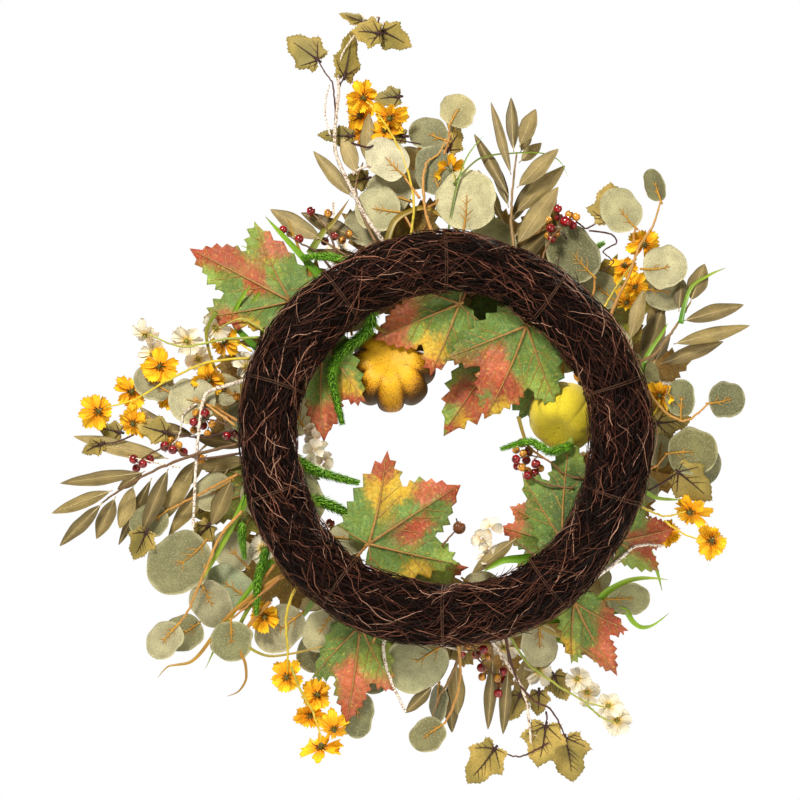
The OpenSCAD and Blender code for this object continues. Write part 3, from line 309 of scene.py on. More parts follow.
class Shader:
    """A node material. Values are numbers, linear colours or other nodes' outputs."""

    def __init__(self, name):
        self.material = bpy.data.materials.new(name)
        self.material.use_nodes = True
        self.tree = self.material.node_tree
        self.surface = self.tree.nodes["Principled BSDF"]

    def put(self, sock, value):
        """Links an output to a socket, or sets the socket to a number or a colour."""
        if isinstance(value, bpy.types.NodeSocket):
            self.tree.links.new(value, sock)
        elif sock.type == "RGBA":
            sock.default_value = (*value, 1)
        else:
            sock.default_value = value

    def node(self, kind, props=(), **inputs):
        """A new node with its properties and its inputs."""
        n = self.tree.nodes.new(kind)
        for key, value in dict(props).items():
            setattr(n, key, value)
        for key, value in inputs.items():
            self.put(n.inputs[key], value)
        return n

    def coords(self, use):
        return self.node("ShaderNodeTexCoord").outputs[use]

    def stretched(self, along):
        """Leaf coordinates drawn out along the leaf, for streaks."""
        uv = self.coords("UV")
        return self.node("ShaderNodeMapping", Vector=uv, Scale=(along, 1.0, 1.0)).outputs["Vector"]

    def painted(self):
        return self.node("ShaderNodeVertexColor", {"layer_name": "Col"}).outputs["Color"]

    def noise(self, co, scale, detail=3.0, rough=0.55, distort=0.0):
        n = self.node("ShaderNodeTexNoise", Vector=co, Scale=scale, Detail=detail, Roughness=rough,
                      Distortion=distort)
        return n.outputs["Fac"]

    def maths(self, operation, *values):
        n = self.node("ShaderNodeMath", {"operation": operation})
        for sock, value in zip(n.inputs, values):
            self.put(sock, value)
        return n.outputs[0]

    def ramp(self, fac, low, high):
        """A grey ramp between two stops, each a position and a value."""
        n = self.node("ShaderNodeValToRGB", Fac=fac)
        for stop, (place, value) in zip(n.color_ramp.elements, (low, high)):
            stop.position = place
            stop.color = (value, value, value, 1)
        return n.outputs["Color"]

    def mix(self, fac, a, b, blend="MIX"):
        n = self.node("ShaderNodeMix", {"data_type": "RGBA", "blend_type": blend})
        for k, value in ((0, fac), (6, a), (7, b)):
            self.put(n.inputs[k], value)
        return n.outputs[2]

    def shade(self, base, fac, low, high):
        """The base colour times a ramp."""
        return self.mix(1.0, base, self.ramp(fac, low, high), "MULTIPLY")

    def bump(self, height, strength, distance, **under):
        n = self.node("ShaderNodeBump", Strength=strength, Distance=distance, Height=height, **under)
        return n.outputs["Normal"]

    def finish(self, base, rough, shine, normal, **extra):
        """Sets the surface. An extra input has _ for each space in its name."""
        values = {"Base Color": base, "Roughness": rough, "Specular IOR Level": shine, "Normal": normal}
        values.update({key.replace("_", " "): value for key, value in extra.items()})
        for key, value in values.items():
            self.put(self.surface.inputs[key], value)
        return self.material


def maple_material():
    """Printed cloth: painted colour broken up by blotches, and a pale net of fine veins."""
    m = Shader("maple_cloth")
    uv = m.coords("UV")
    base = m.shade(m.painted(), m.noise(uv, 34, 3, 0.6, 0.4), (0.3, 0.66), (0.7, 1.22))
    base = m.shade(base, m.noise(uv, 330, 4, 0.7), (0.36, 0.7), (0.64, 1.22))
    blotch = m.ramp(m.noise(uv, 95, 4, 0.6, 0.6), (0.44, 0.0), (0.56, 1.0))
    base = m.mix(blotch, base, m.mix(1.0, base, (1.0, 0.88, 0.55), "MULTIPLY"))
    dots = m.ramp(m.noise(uv, 300, 4, 0.7), (0.57, 0.0), (0.7, 0.6))
    base = m.mix(dots, base, lin("#d8c24e"))
    warp = m.node("ShaderNodeTexNoise", Vector=uv, Scale=120)
    moved = m.mix(0.012, uv, warp.outputs["Color"])
    cells = m.node("ShaderNodeTexVoronoi", {"feature": "DISTANCE_TO_EDGE"}, Vector=moved, Scale=260)
    net = m.ramp(cells.outputs["Distance"], (0.0, 1.0), (0.07, 0.0))
    pale = m.mix(0.55, base, lin("#d9d6a0"))
    base = m.mix(m.maths("MULTIPLY", net, 0.24), base, pale)
    weave = m.bump(m.noise(uv, 900, 3), 0.35, 0.0003, Normal=m.bump(net, 0.35, 0.0004))
    return m.finish(base, 0.62, 0.35, weave)


def leaf_material(name, speck, speck_amount, rough, streak=False, fine=900, tone=(0.82, 1.12), pale=None,
                  side_veins=None):
    """Leaf skin: painted colour, cloudy tone, fine specks, streaks or side veins."""
    m = Shader(name)
    uv = m.coords("UV")
    base = m.shade(m.painted(), m.noise(uv, 60, 4, 0.6, 0.3), (0.3, tone[0]), (0.7, tone[1]))
    height = m.ramp(m.noise(uv, fine, 3, 0.7), (0.5, 0.0), (0.66, speck_amount))
    base = m.mix(height, base, speck)
    if pale is not None:
        light = m.ramp(m.noise(uv, fine * 0.45, 4, 0.75), (0.5, 0.0), (0.75, 0.4))
        base = m.mix(light, base, pale)
    if side_veins is not None:
        x, y, _ = m.node("ShaderNodeSeparateXYZ", Vector=uv).outputs
        slope = m.maths("MULTIPLY_ADD", m.maths("ABSOLUTE", y), -0.75, x)
        drift = m.maths("MULTIPLY_ADD", m.noise(uv, 110, 3, 0.6), 0.016, slope)
        wave = m.maths("SINE", m.maths("MULTIPLY", drift, TURN / SIDE_VEIN_GAP))
        height = m.ramp(wave, (0.6, 0.0), (0.97, 0.42))
        base = m.mix(height, base, side_veins)
    if streak:
        height = m.ramp(m.noise(m.stretched(0.05), 1400, 3, 0.6), (0.35, 0.78), (0.65, 1.12))
        base = m.mix(1.0, base, height, "MULTIPLY")
    return m.finish(base, rough, 0.4, m.bump(height, 0.25, 0.0003))


def stem_material(name, rough=0.5, bumpy=0.4, spots=None, scale=260, shine=0.4):
    """Moulded or bark-covered stems: painted colour with a mottled tone and fine ridges."""
    m = Shader(name)
    co = m.coords("Object")
    base = m.shade(m.painted(), m.noise(co, scale, 4, 0.65), (0.3, 0.7), (0.72, 1.22))
    if spots is not None:
        fac = m.ramp(m.noise(co, scale * 1.9, 3, 0.6, 0.5), (0.53, 0.0), (0.58, 1.0))
        base = m.mix(fac, base, spots)
    return m.finish(base, rough, shine, m.bump(m.noise(co, scale * 3, 4), bumpy, 0.0004))


def berry_material(name, deep, bright):
    """A glossy skin, mottled between two colours."""
    m = Shader(name)
    co = m.coords("Object")
    tone = m.ramp(m.noise(co, 210, 4, 0.65), (0.38, 0.0), (0.6, 1.0))
    base = m.mix(0.35, m.mix(tone, deep, bright), m.painted(), "MULTIPLY")
    pits = m.bump(m.noise(co, 900, 3), 0.06, 0.0004)
    return m.finish(base, 0.22, 0.5, pits, Coat_Weight=0.4, Coat_Roughness=0.12)


def petal_material(name):
    """Cloth petals, with fine streaks from the eye to the rim."""
    m = Shader(name)
    lines = m.ramp(m.noise(m.stretched(0.12), 900, 3, 0.6), (0.35, 0.8), (0.65, 1.08))
    base = m.mix(1.0, m.painted(), lines, "MULTIPLY")
    return m.finish(base, 0.7, 0.2, m.bump(lines, 0.3, 0.0003))


def gourd_material(name, speck, rough, fine, relief, **extra):
    """Shell colour from the painted shade, with specks that gather where it is dark."""
    m = Shader(name)
    co = m.coords("Object")
    base = m.shade(m.painted(), m.noise(co, 45, 4, 0.6), (0.3, 0.84), (0.7, 1.1))
    grain = m.noise(co, fine, 3, 0.7)
    red = m.node("ShaderNodeSeparateColor", Color=m.painted()).outputs["Red"]
    dense = m.maths("ADD", grain, m.maths("MULTIPLY_ADD", red, -0.36, 0.225))
    base = m.mix(m.ramp(dense, (0.55, 0.0), (0.62, 0.85)), base, speck)
    return m.finish(base, rough, 0.25, m.bump(grain, relief, 0.0008), **extra)


MAPLE = maple_material()
EUCA = leaf_material("eucalyptus_skin", lin("#5a5626"), 0.42, 0.58, fine=1300, tone=(0.66, 1.2),
                     pale=lin("#e0dab4"), side_veins=lin("#5e6238"))
OLIVE = leaf_material("olive_skin", lin("#4a4020"), 0.4, 0.55, streak=True, tone=(0.72, 1.15))
IVY = leaf_material("ivy_skin", lin("#5d5620"), 0.5, 0.6, fine=600, tone=(0.68, 1.18))
BLADE = leaf_material("blade_skin", lin("#8fb02a"), 0.15, 0.42, streak=True, tone=(0.85, 1.12))
PETAL = petal_material("petal_cloth")
SILK = stem_material("silk_petal", 0.6, 0.1, scale=120)
VEIN = stem_material("vein_rib", 0.55, 0.2)
STEM = stem_material("moulded_stem", 0.48, 0.35)
BARK = stem_material("birch_bark", 0.75, 0.8, spots=lin("#7a5238"), scale=330)
TWIG = stem_material("vine_bark", 0.55, 0.5, scale=400, shine=0.16)
# the dark vine core under the twigs: painted shade deep in the bundle
SHADE_CORE = stem_material("vine_shade_core", 0.9, 0.8, scale=300, shine=0.05)
FUZZ = stem_material("needle_skin", 0.5, 0.2)
BUD = stem_material("bud_skin", 0.4, 0.3)
RED = berry_material("red_berry", lin("#4c0810"), lin("#a0141f"))
AMBER = berry_material("amber_berry", lin("#6e3c12"), lin("#dd9a2e"))
GOLD_SHELL = gourd_material("pumpkin_paint_and_shade", lin("#3d2606"), 0.5, 900, 0.2)
GREEN_SHELL = gourd_material("gourd_flock", lin("#6f7410"), 0.85, 1300, 0.9, Sheen_Weight=0.25,
                             Sheen_Roughness=0.4)


# ---------------------------------------------------------------- vine ring

SPRING_MOST = 0.036                     # furthest that a loose end stands from the middle of the bundle
# twig colours from near-black to pale reddish brown: the twigs' own browns, with the near-black ones partly
# painted shade in the gaps and the palest partly painted highlights
TWIG_TONES_LIT_AND_SHADED = lins("#0c0403 #1d0b08 #3d1e16 #5a3528 #865847 #b08672")
# kinds of twig: how many, angle along the ring, slope, radius, depth in the bundle, curl, shares of the
# tones; the outer kind takes more of the pale tones and the deeper kinds more of the near-black ones, painted
# light and shade by depth
TWIG_KINDS = (
    (2000, (0.14, 0.50), 0.45, (0.00028, 0.0005), (0.0215, 0.0262), 0.0005,
     (0.40, 0.29, 0.17, 0.09, 0.04, 0.01)),
    (3200, (0.05, 0.17), 1.6, (0.00022, 0.0004), (0.0230, 0.0272), 0.0006,
     (0.26, 0.27, 0.21, 0.14, 0.08, 0.04)),
    (1000, (0.08, 0.28), 0.9, (0.00022, 0.00036), (0.0255, 0.0284), 0.0008,
     (0.12, 0.2, 0.25, 0.21, 0.14, 0.08)),
    (120, (0.10, 0.32), 0.8, (0.0005, 0.0008), (0.0235, 0.0262), 0.0006,
     (0.28, 0.32, 0.24, 0.11, 0.04, 0.01)),
)


def on_ring(th, ph, rho):
    """The point at an angle along the ring, an angle round the bundle and a depth in it."""
    swell = 0.035 * np.sin(3 * th + 1.0) + 0.03 * np.sin(7 * th + 2.2) + 0.02 * np.sin(13 * th + 0.7)
    rho = rho * (1 + swell)
    r = RING_R + 0.0012 * np.sin(5 * th + 0.4) + rho * np.cos(ph)
    return np.stack([r * np.cos(th), rho * np.sin(ph), r * np.sin(th)], -1) + CENTRE


def twig(rng, span, slope_most, depth, curl, springs):
    """One curled twig's path along the ring, and its parameter at each point."""
    length = rng.uniform(*span)
    t = np.linspace(0, 1, max(6, int(8 + length * 22)))
    th0, ph0 = rng.uniform(0, TURN, 2)
    slope = rng.uniform(-slope_most, slope_most)
    run = RING_R * length
    f1, f2 = rng.uniform(0.5, 1.2, 2) * (1 + run / 0.03)
    a1, a2, a3 = rng.uniform(0, 6.3, 3)
    bend = rng.uniform(-1, 1) * 0.5 * length
    th = th0 + length * t + curl / RING_R * np.sin(f2 * 6.28 * t + a3)
    ph = ph0 + slope * run / BUNDLE_R * t + bend * 4 * t * (1 - t)
    ph = ph + curl / BUNDLE_R * np.sin(f1 * 6.28 * t + a1)
    rho = rng.uniform(*depth) + 0.45 * curl * np.sin(f2 * 6.28 * t + a2)
    if springs:                              # a loose end
        rho = rho + rng.uniform(0.002, 0.008) * t ** 3
    return on_ring(th, ph, np.minimum(rho, SPRING_MOST)), t


def vine_ring():
    """Thousands of thin twigs tangled along the ring, over a dark core that is painted shade deep in the
    bundle.
    """
    rng = rng_for("vine_ring")
    pc = Piece("vine_bundle")
    nt, na = 200, 36                         # points along the core and round it
    th, ph = np.meshgrid(np.arange(nt) * TURN / nt, np.arange(na) * TURN / na, indexing="ij")
    core = on_ring(th, ph, 0.0222 + 0.0010 * np.sin(9 * th + 3 * ph) + 0.0008 * np.sin(23 * th - 5 * ph))
    # the core's near-black colour is painted shade in the gaps between the twigs
    pc.add(core.reshape(-1, 3), quads=skin(nt, na, closed=True)[0], col=lin("#140a08"), mat=1)
    for count, span, slope, fat, depth, curl, share in TWIG_KINDS:
        for k in range(count):
            path, t = twig(rng, span, slope, depth, curl, slope > 1 and k % 9 == 0)
            r = rng.uniform(*fat)
            sides = 3 if r < 0.0003 else 4 if r < 0.0006 else 6
            tone = TWIG_TONES_LIT_AND_SHADED[rng.choice(len(share), p=share)] * rng.uniform(0.75, 1.25)
            pc.rod(path, r * (1 - 0.6 * np.abs(2 * t - 1) ** 4), sides, tone)
    pc.make([TWIG, SHADE_CORE], "vine_ring")


def binding_wires():
    """Each wire becomes a thin twisted pair round the bundle, half sunk between the twigs."""
    rng = rng_for("wires")
    pc = Piece("binding_wire_turns")
    ph = np.linspace(0, TURN, 40)
    for pts, _ in islands("binding_wires"):
        d = pts.mean(0) - CENTRE
        a = math.atan2(d[2], d[0])
        radial = np.array([math.cos(a), 0, math.sin(a)])
        along = np.array([-math.sin(a), 0, math.cos(a)])
        for side in (-1, 1):
            rho = 0.0262 + 0.0004 * np.sin(3 * ph + rng.uniform(0, 6))
            off = 0.0009 * side + 0.002 * np.sin(ph + rng.uniform(-0.3, 0.3))
            p = (CENTRE + radial * RING_R + np.outer(np.cos(ph) * rho, radial)
                 + np.outer(np.sin(ph) * rho, [0, 1, 0]) + np.outer(off, along))
            pc.rod(p, 0.0005, 6, lin("#4a3226"))
    pc.make([TWIG], "binding_wires")


# ---------------------------------------------------------------- leaves

LEAF_T = 0.0005                         # thickness of a lobed leaf


def inside(poly, pts):
    x, y = pts[:, 0], pts[:, 1]
    res = np.zeros(len(pts), bool)
    a = poly
    b = np.roll(poly, -1, 0)
    for (x1, y1), (x2, y2) in zip(a, b):
        cond = (y1 > y) != (y2 > y)
        with np.errstate(divide="ignore", invalid="ignore"):
            xi = (x2 - x1) * (y - y1) / (y2 - y1) + x1
        res ^= cond & (x < xi)
    return res


def seg_dist(p, a, b):
    d = b - a
    t = np.clip(((p - a) @ d) / (d @ d + 1e-12), 0, 1)
    return np.linalg.norm(p - a - t[:, None] * d, axis=1)


def poly_dist(p, poly):
    return np.min([seg_dist(p, a, b) for a, b in zip(poly, np.roll(poly, -1, 0))], axis=0)


def fill(poly, step, rng):
    """Triangles over an outline, with jittered points inside. Outline points come first."""
    lo, hi = poly.min(0), poly.max(0)
    gx = np.arange(lo[0], hi[0], step)
    gy = np.arange(lo[1], hi[1], step * 0.87)
    X, Y = np.meshgrid(gx, gy)
    X = X + (np.arange(len(gy)) % 2)[:, None] * step / 2
    g = np.stack([X.ravel(), Y.ravel()], 1) + rng.normal(0, step * 0.08, (X.size, 2))
    g = g[inside(poly, g)]
    g = g[poly_dist(g, poly) > step * 0.45]
    pts = np.vstack([poly, g])
    n = len(poly)
    out = delaunay_2d_cdt([Vector(p) for p in pts * 1000], [(i, (i + 1) % n) for i in range(n)],
                          [list(range(n))], 1, 1e-5)
    v = np.array([list(p) for p in out[0]]) / 1000
    f = np.array([t for t in out[2] if len(t) == 3], int)
    area = np.cross(v[f[:, 1]] - v[f[:, 0]], v[f[:, 2]] - v[f[:, 0]])
    f[area < 0] = f[area < 0][:, ::-1]
    used = {}
    for k, o in enumerate(out[3]):
        for s in o:
            used.setdefault(s, k)
    return v, f, np.array([used[i] for i in range(n)])


def teeth(poly, per, depth, rng):
    """Splits each edge of an outline and pushes small pointed teeth out of it."""
    out = []
    for a, b in zip(poly, np.roll(poly, -1, 0)):
        d = b - a
        ln = np.linalg.norm(d)
        n = max(1, int(round(ln / per)))
        out_of = np.array([d[1], -d[0]]) / (ln + 1e-12)
        for k in range(n):
            out.append(a + d * k / n)
            if depth:
                out.append(a + d * (k + 0.68) / n + out_of * depth * rng.uniform(0.5, 1.2))
    return np.array(out)


def blend_colours(xy, patches, power=6.0):
    """A colour at each point from the nearest painted patches."""
    a = np.array([p[:2] for p in patches], float)
    c = np.array([p[2] for p in patches])
    w = (np.linalg.norm(xy[:, None] - a[None], axis=2) + 0.5) ** -power
    return (w[:, :, None] * c[None]).sum(1) / w.sum(1)[:, None]


# half outlines and veins, from the base of the leaf (0) to its tip (1)
LOBED = [(0, 0.012), (-0.06, 0.06), (-0.12, 0.14), (-0.1, 0.19), (-0.15, 0.31), (-0.085, 0.295),
         (-0.06, 0.36), (-0.01, 0.335), (0.04, 0.44), (0.1, 0.405), (0.16, 0.515), (0.23, 0.475), (0.3, 0.58),
         (0.365, 0.535), (0.45, 0.615), (0.495, 0.565), (0.6, 0.63), (0.575, 0.545), (0.63, 0.505),
         (0.575, 0.455), (0.615, 0.39), (0.56, 0.35), (0.545, 0.275), (0.585, 0.25), (0.63, 0.29),
         (0.66, 0.235), (0.725, 0.262), (0.745, 0.19), (0.805, 0.2), (0.82, 0.13), (0.885, 0.125),
         (0.9, 0.065), (1, 0)]
LOBE_VEINS = [(1.0, 0), (0.6, 0.63), (0.6, -0.63), (-0.15, 0.31), (-0.15, -0.31)]
IVY_HALF = [(0, 0.02), (-0.06, 0.06), (-0.1, 0.15), (-0.11, 0.27), (-0.08, 0.37), (0.0, 0.35), (0.07, 0.36),
            (0.14, 0.44), (0.22, 0.51), (0.36, 0.56), (0.38, 0.47), (0.43, 0.41), (0.5, 0.345), (0.6, 0.33),
            (0.71, 0.31), (0.78, 0.24), (0.86, 0.15), (0.93, 0.07), (1, 0)]
IVY_VEINS = [(1.0, 0), (0.36, 0.56), (0.36, -0.56), (-0.08, 0.36), (-0.08, -0.36)]


def mirrored(half):
    h = np.array(half, float)
    return np.vstack([h, (h * [1, -1])[::-1][1:]])


def broad_leaf(pc, fr, half, veins, rng, colour, vein_col, vein_r, step, puff, curl, edge=(0.004, 0),
               reach=0.92, under=None):
    """A lobed leaf: a puckered sheet inside its outline, with ribs standing out on its back."""
    base, ax, L, W = fr
    outline = mirrored(half)
    size = np.array([L, W / np.ptp(outline[:, 1])])
    poly = outline * size + rng.normal(0, 0.006, outline.shape) * L
    poly[0], poly[-1] = outline[0] * size, outline[-1] * size
    poly = teeth(poly, *edge, rng)
    after = np.roll(poly, -1, 0)
    if (after[:, 0] * poly[:, 1] - poly[:, 0] * after[:, 1]).sum() > 0:
        poly = poly[::-1]
    flat, faces, loop = fill(poly, step, rng)
    mains = [(np.zeros(2), np.array(e) * size * reach) for e in veins]
    wav = wobble(rng, 0.022, 0.0016)
    tilt = rng.normal(0, 0.03)
    bend = curl * rng.uniform(0.4, 1.2)
    fold = rng.uniform(-0.02, 0.1)

    def height(q):
        d = np.min([seg_dist(q, a, b) for a, b in mains], axis=0)
        z = puff * (1 - np.exp(-(d / 0.006) ** 1.5)) + wav(q[:, 0], q[:, 1]) * np.clip(d / 0.012, 0, 1)
        return z + bend * q[:, 0] ** 2 / L - fold * np.abs(q[:, 1]) * 0.5 + tilt * q[:, 1]

    def world(q, lift=0.0):
        return base + np.column_stack([q, height(q) + lift]) @ ax

    col = colour(world(flat), flat / size, flat)
    back_col = col if under is None else col * 0.3 + under * 0.7
    pc.sheet(world(flat, LEAF_T / 2), world(flat, -LEAF_T / 2), faces, loop, col, back_col, flat)
    for a, b in mains:
        s = np.linspace(0, 1, 9)[:, None]
        run = b - a
        ln = np.linalg.norm(run)
        bow = np.array([-run[1], run[0]]) * rng.normal(0, 0.02)
        line = a + run * s + bow * np.sin(s * math.pi)
        r = vein_r * np.clip(0.35 + ln / L * 0.75, 0, 1) * (1 - 0.78 * s[:, 0] ** 0.8)
        lift = BACK * (LEAF_T / 2 + vein_r * 0.35)
        pc.rod(world(line, lift), r, 6, vein_col * rng.uniform(0.85, 1.1), 1)
        shares = (0.3, 0.48, 0.66, 0.82) if ln > 0.55 * L else (0.4, 0.68)
        for share, sign in ((f, g) for f in shares for g in (-1, 1)):
            start = a + run * (share + rng.normal(0, 0.02)) + bow * math.sin(share * math.pi)
            ang = sign * math.radians(rng.uniform(36, 48))
            u = run / ln
            d = math.cos(ang) * u + math.sin(ang) * np.array([-u[1], u[0]])
            far = 0.0
            for reached in np.linspace(0.02, 0.34, 12) * L * (1.15 - share * 0.7):
                c = (start + d * reached)[None]
                if not inside(poly, c)[0] or min(seg_dist(c, *m)[0] for m in mains) < 0.0006:
                    break
                far = reached
            if far < 0.004:
                continue
            s = np.linspace(0, 1, 5)[:, None]
            side = start + d * far * 0.93 * s + u * far * 0.10 * s ** 2
            lift = BACK * (LEAF_T / 2 + vein_r * 0.1)
            r = vein_r * 0.34 * (1 - 0.7 * s[:, 0])
            pc.rod(world(side, lift), r, 5, vein_col * rng.uniform(0.9, 1.2), 1)
    z = height(np.zeros((1, 2)))[0] - LEAF_T
    pc.rod(base + np.array([[-0.0035, 0, z], [0.004, 0, z]]) @ ax, vein_r * 1.05, 7, vein_col, 1)


def round_leaf(pc, fr, rng, colour, vein_col, shape, t, cup, bend, rib, nu, nv, skeleton):
    """A simple leaf on a grid along its midrib, with a moulded rib on its back."""
    base, ax, L, W = fr
    along = (1 - np.cos(np.linspace(0, math.pi, nu))) / 2
    U, S = np.meshgrid(along, np.linspace(-1, 1, nv), indexing="ij")
    wob = (1 + 0.05 * np.sin(6.28 * U * rng.uniform(0.8, 1.6) + rng.uniform(0, 6.28)) * S
           + 0.03 * np.sin(6.28 * U * rng.uniform(2.0, 3.2) + rng.uniform(0, 6.28)))
    flat = np.stack([U * L, S * W / 2 * shape(U) * wob], -1).reshape(-1, 2)
    wav = wobble(rng, 0.016, 0.0017)
    lengthwise = bend * rng.uniform(-0.4, 1.0)
    crosswise = cup * rng.uniform(0.2, 1.0)

    def world(q, lift=0.0):
        x, y = q[:, 0], q[:, 1]
        v = y / (W / 2)
        z = crosswise * W / 4 * v ** 2 + lengthwise * x ** 2 / L + wav(x, y) * np.abs(v)
        return base + np.column_stack([q, z + lift]) @ ax

    def rod(line, r, sides, sink):
        lift = BACK * (t / 2 + r.max() * sink)
        pc.rod(world(line, lift), r, sides, vein_col * rng.uniform(0.88, 1.1), 1)

    faces, loop = grid_sheet(nu, nv)
    col = colour(U.ravel(), S.ravel())
    pc.sheet(world(flat, t / 2), world(flat, -t / 2), faces, loop, col, col, flat)
    if not skeleton:
        x = np.linspace(-0.003 / L, 0.96, 12) * L
        rod(np.column_stack([x, 0 * x]), rib * np.linspace(1, 0.3, 12), 5, 0.4)
        return
    end = rng.uniform(0.5, 0.64)
    x = np.linspace(-0.003 / L, end, 9)
    sway = rng.normal(0, 0.03) * L * 0.4
    rod(np.column_stack([x * L, sway * np.sin(x / end * math.pi)]), rib * np.linspace(1.15, 0.35, 9), 6, 0.4)
    for share, sign in ((f, g) for f in (0.3, 0.52, 0.76) for g in (-1, 1)):
        if rng.random() < 0.12:
            continue
        f = share + rng.normal(0, 0.05)
        start = np.array([f * end * L, sway * math.sin(f * math.pi)])
        way = np.array([math.cos(math.radians(44)), sign * math.sin(math.radians(44))])
        run = way * L * rng.uniform(0.12, 0.2) * (1.2 - share * 0.6)
        rod(start + run * np.linspace(0, 1, 4)[:, None], rib * 0.62 * np.linspace(1, 0.35, 4), 5, 0.2)


def euca_shape(u):
    return np.clip(1 - np.abs(2 * u ** 0.92 - 1) ** 2.25, 0, 1) ** 0.5 * 0.97 + 0.02


def lens_shape(u):
    return np.clip(np.sin(math.pi * u ** 0.92), 0, 1) ** 0.85 * 0.96 + 0.03


# maple colours: green, light green, dark green, yellow, red, pink, orange
G, GL, DG, Y, R, P, O = lins("#5f803c #7f9a46 #41602b #c9a834 #a24834 #b8644e #b06022")
TAN = lin("#a37a40")
UNDERSIDE = lin("#6c7038")                # paler, greener backs of the leaves on the door-facing side
# patches of colour on each maple leaf: millimetres to the right of the ring's centre and above it
PAINT = {
    "upper_left": [(-135, 122, G), (-150, 140, GL), (-128, 148, G), (-144, 170, P), (-172, 172, GL),
        (-186, 158, R), (-160, 138, R), (-205, 165, R), (-222, 169, R), (-165, 112, G), (-185, 125, G),
        (-200, 135, GL), (-172, 97, Y), (-182, 96, R), (-150, 105, G)],
    "inner_left": [(-100, 75, G), (-90, 60, G), (-75, 70, G), (-72, 50, G), (-82, 45, Y), (-80, 30, R),
        (-88, 22, R), (-95, 10, R), (-115, 40, G), (-110, 20, P), (-125, 30, R), (-100, 0, R)],
    "inner_top_left": [(10, 112, G), (-10, 98, G), (-25, 92, GL), (-58, 88, P), (-42, 84, P), (-30, 76, P),
        (-17, 83, Y), (-5, 79, Y), (-20, 62, R), (-5, 57, R), (8, 62, G), (12, 80, G), (-35, 100, P)],
    "inner_top_right": [(68, 95, G), (45, 100, G), (31, 89, G), (65, 66, G), (80, 50, GL), (90, 30, GL),
        (45, 64, P), (52, 43, R), (31, 46, R), (36, 30, R), (34, 36, G), (50, 26, Y), (65, 22, R),
        (67, 14, R), (100, 60, G), (104, 30, GL)],
    "inner_top_rear": [(76, 112, G), (50, 85, G), (20, 70, G), (2, 50, GL), (8, 40, P), (14, 38, R),
        (24, 17, R), (2, 20, GL), (7, 10, R), (2, 2, GL), (20, 12, Y), (60, 20, G), (90, 50, G)],
    "inner_bottom_left": [(-60, -88, G), (-75, -60, G), (-82, -46, G), (-58, -45, Y), (-48, -18, R),
        (-52, -28, R), (-40, -41, Y), (-25, -25, GL), (-30, -60, G), (-15, -45, P), (0, -45, R),
        (15, -45, R), (-5, -60, G), (-24, -75, R), (-10, -90, G), (-35, -100, G), (-2, -100, GL),
        (-20, -112, Y)],
    "inner_bottom_rear": [(-45, -115, R), (-25, -105, G), (0, -112, GL), (18, -112, R), (-10, -100, R)],
    "inner_bottom_right": [(102, -85, DG), (80, -70, G), (60, -62, P), (48, -70, R), (70, -45, G),
        (65, -35, GL), (85, -20, G), (95, 0, G), (108, 3, GL), (112, -40, DG), (105, -60, DG), (75, -95, G)],
    "lower_left": [(-72, -165, G), (-95, -185, G), (-106, -218, G), (-80, -200, P), (-75, -215, P),
        (-85, -248, R), (-95, -238, R), (-60, -235, R), (-50, -232, P), (-65, -190, GL)],
    "lower_right": [(112, -142, G), (105, -165, GL), (98, -180, Y), (122, -170, G), (140, -165, R),
        (148, -165, R), (150, -203, R), (135, -185, P), (122, -195, GL)],
    "right": [(150, -88, G), (165, -85, P), (185, -75, R), (200, -68, R), (177, -98, R), (167, -110, GL),
        (165, -70, G)],
}
FRONT_TONES = {"front_green": (G, GL, Y), "front_gold": (Y, O, R), "front_red": (R, P, O)}


def leaf_pieces(kind, places, mats, add_leaf):
    """A piece for each CAD node of a kind of leaf, with a leaf on each of its solids."""
    for place in places:
        name = f"{kind}_{place}"
        rng = rng_for(name)
        pc = Piece(f"leaf_{name}")
        for pts, _ in islands(name):
            add_leaf(pc, pts, rng, place)
        pc.make(mats, name)


def maple(pc, pts, rng, place):
    patches = PAINT.get(place)
    wav = wobble(rng, 0.012, 1.0)

    def colour(w, share, v):
        x, y = v.T
        if patches:
            spread = np.stack([wav(x, y), wav(y, x)], 1) * 3.5 + rng.normal(0, 1.6, v.shape)
            return blend_colours((w - CENTRE)[:, [0, 2]] * 1000 + spread, patches)
        tones = np.array(FRONT_TONES[place])
        out = np.hypot(share[:, 0], share[:, 1] * 1.3) + 0.12 * wav(x, y)
        k = np.clip((out - 0.25) / 0.6, 0, 1) * 2
        low = np.minimum(k.astype(int), 1)
        return tones[low] + (tones[low + 1] - tones[low]) * (k - low)[:, None]

    broad_leaf(pc, leaf_frame(pts), LOBED, LOBE_VEINS, rng, colour, TAN, 0.0015, step=0.0024,
               puff=0.0032, curl=0.06, under=None if patches else UNDERSIDE)


def ivy(pc, pts, rng, place):
    light = lin("#b49a4e") * rng.uniform(0.8, 1.08)
    dark = lin("#7b7030") * rng.uniform(0.8, 1.1)
    wav = wobble(rng, 0.01, 1.0)

    def colour(w, share, v):
        k = 0.35 + 0.5 * wav(*v.T) + 0.5 * np.hypot(share[:, 0] - 0.35, share[:, 1])
        return dark + (light - dark) * np.clip(k, 0, 1)[:, None]

    broad_leaf(pc, leaf_frame(pts), IVY_HALF, IVY_VEINS, rng, colour, lin("#341614"), 0.0012,
               step=0.0026, puff=0.0009, curl=0.08, edge=(0.0042, 0.0011), reach=0.72)


EUCA_TONES = lins("#b8b28a #a2a074 #8c8c62 #c6c09a #7a7c56")
# eucalyptus leaves with a tone matched to how each one looks, the leaf's own colour with painted light and
# shade in it, the darkest mostly painted shade: millimetres from the ring's centre, and the tone
MATCHED_LEAF_TONES = [(-48, 240, "#c2bca0"), (24, 206, "#bcb68e"), (-52, 200, "#b4b08a"), (12, 284, "#a59c70"),
             (-217, 32, "#b0aa88"), (-188, -125, "#909a78"), (214, -10, "#6e6b40"), (111, 160, "#5a5a38"),
             (149, 199, "#a6a27c"), (-24, -193, "#a4a47e"), (-14, -255, "#74714e")]


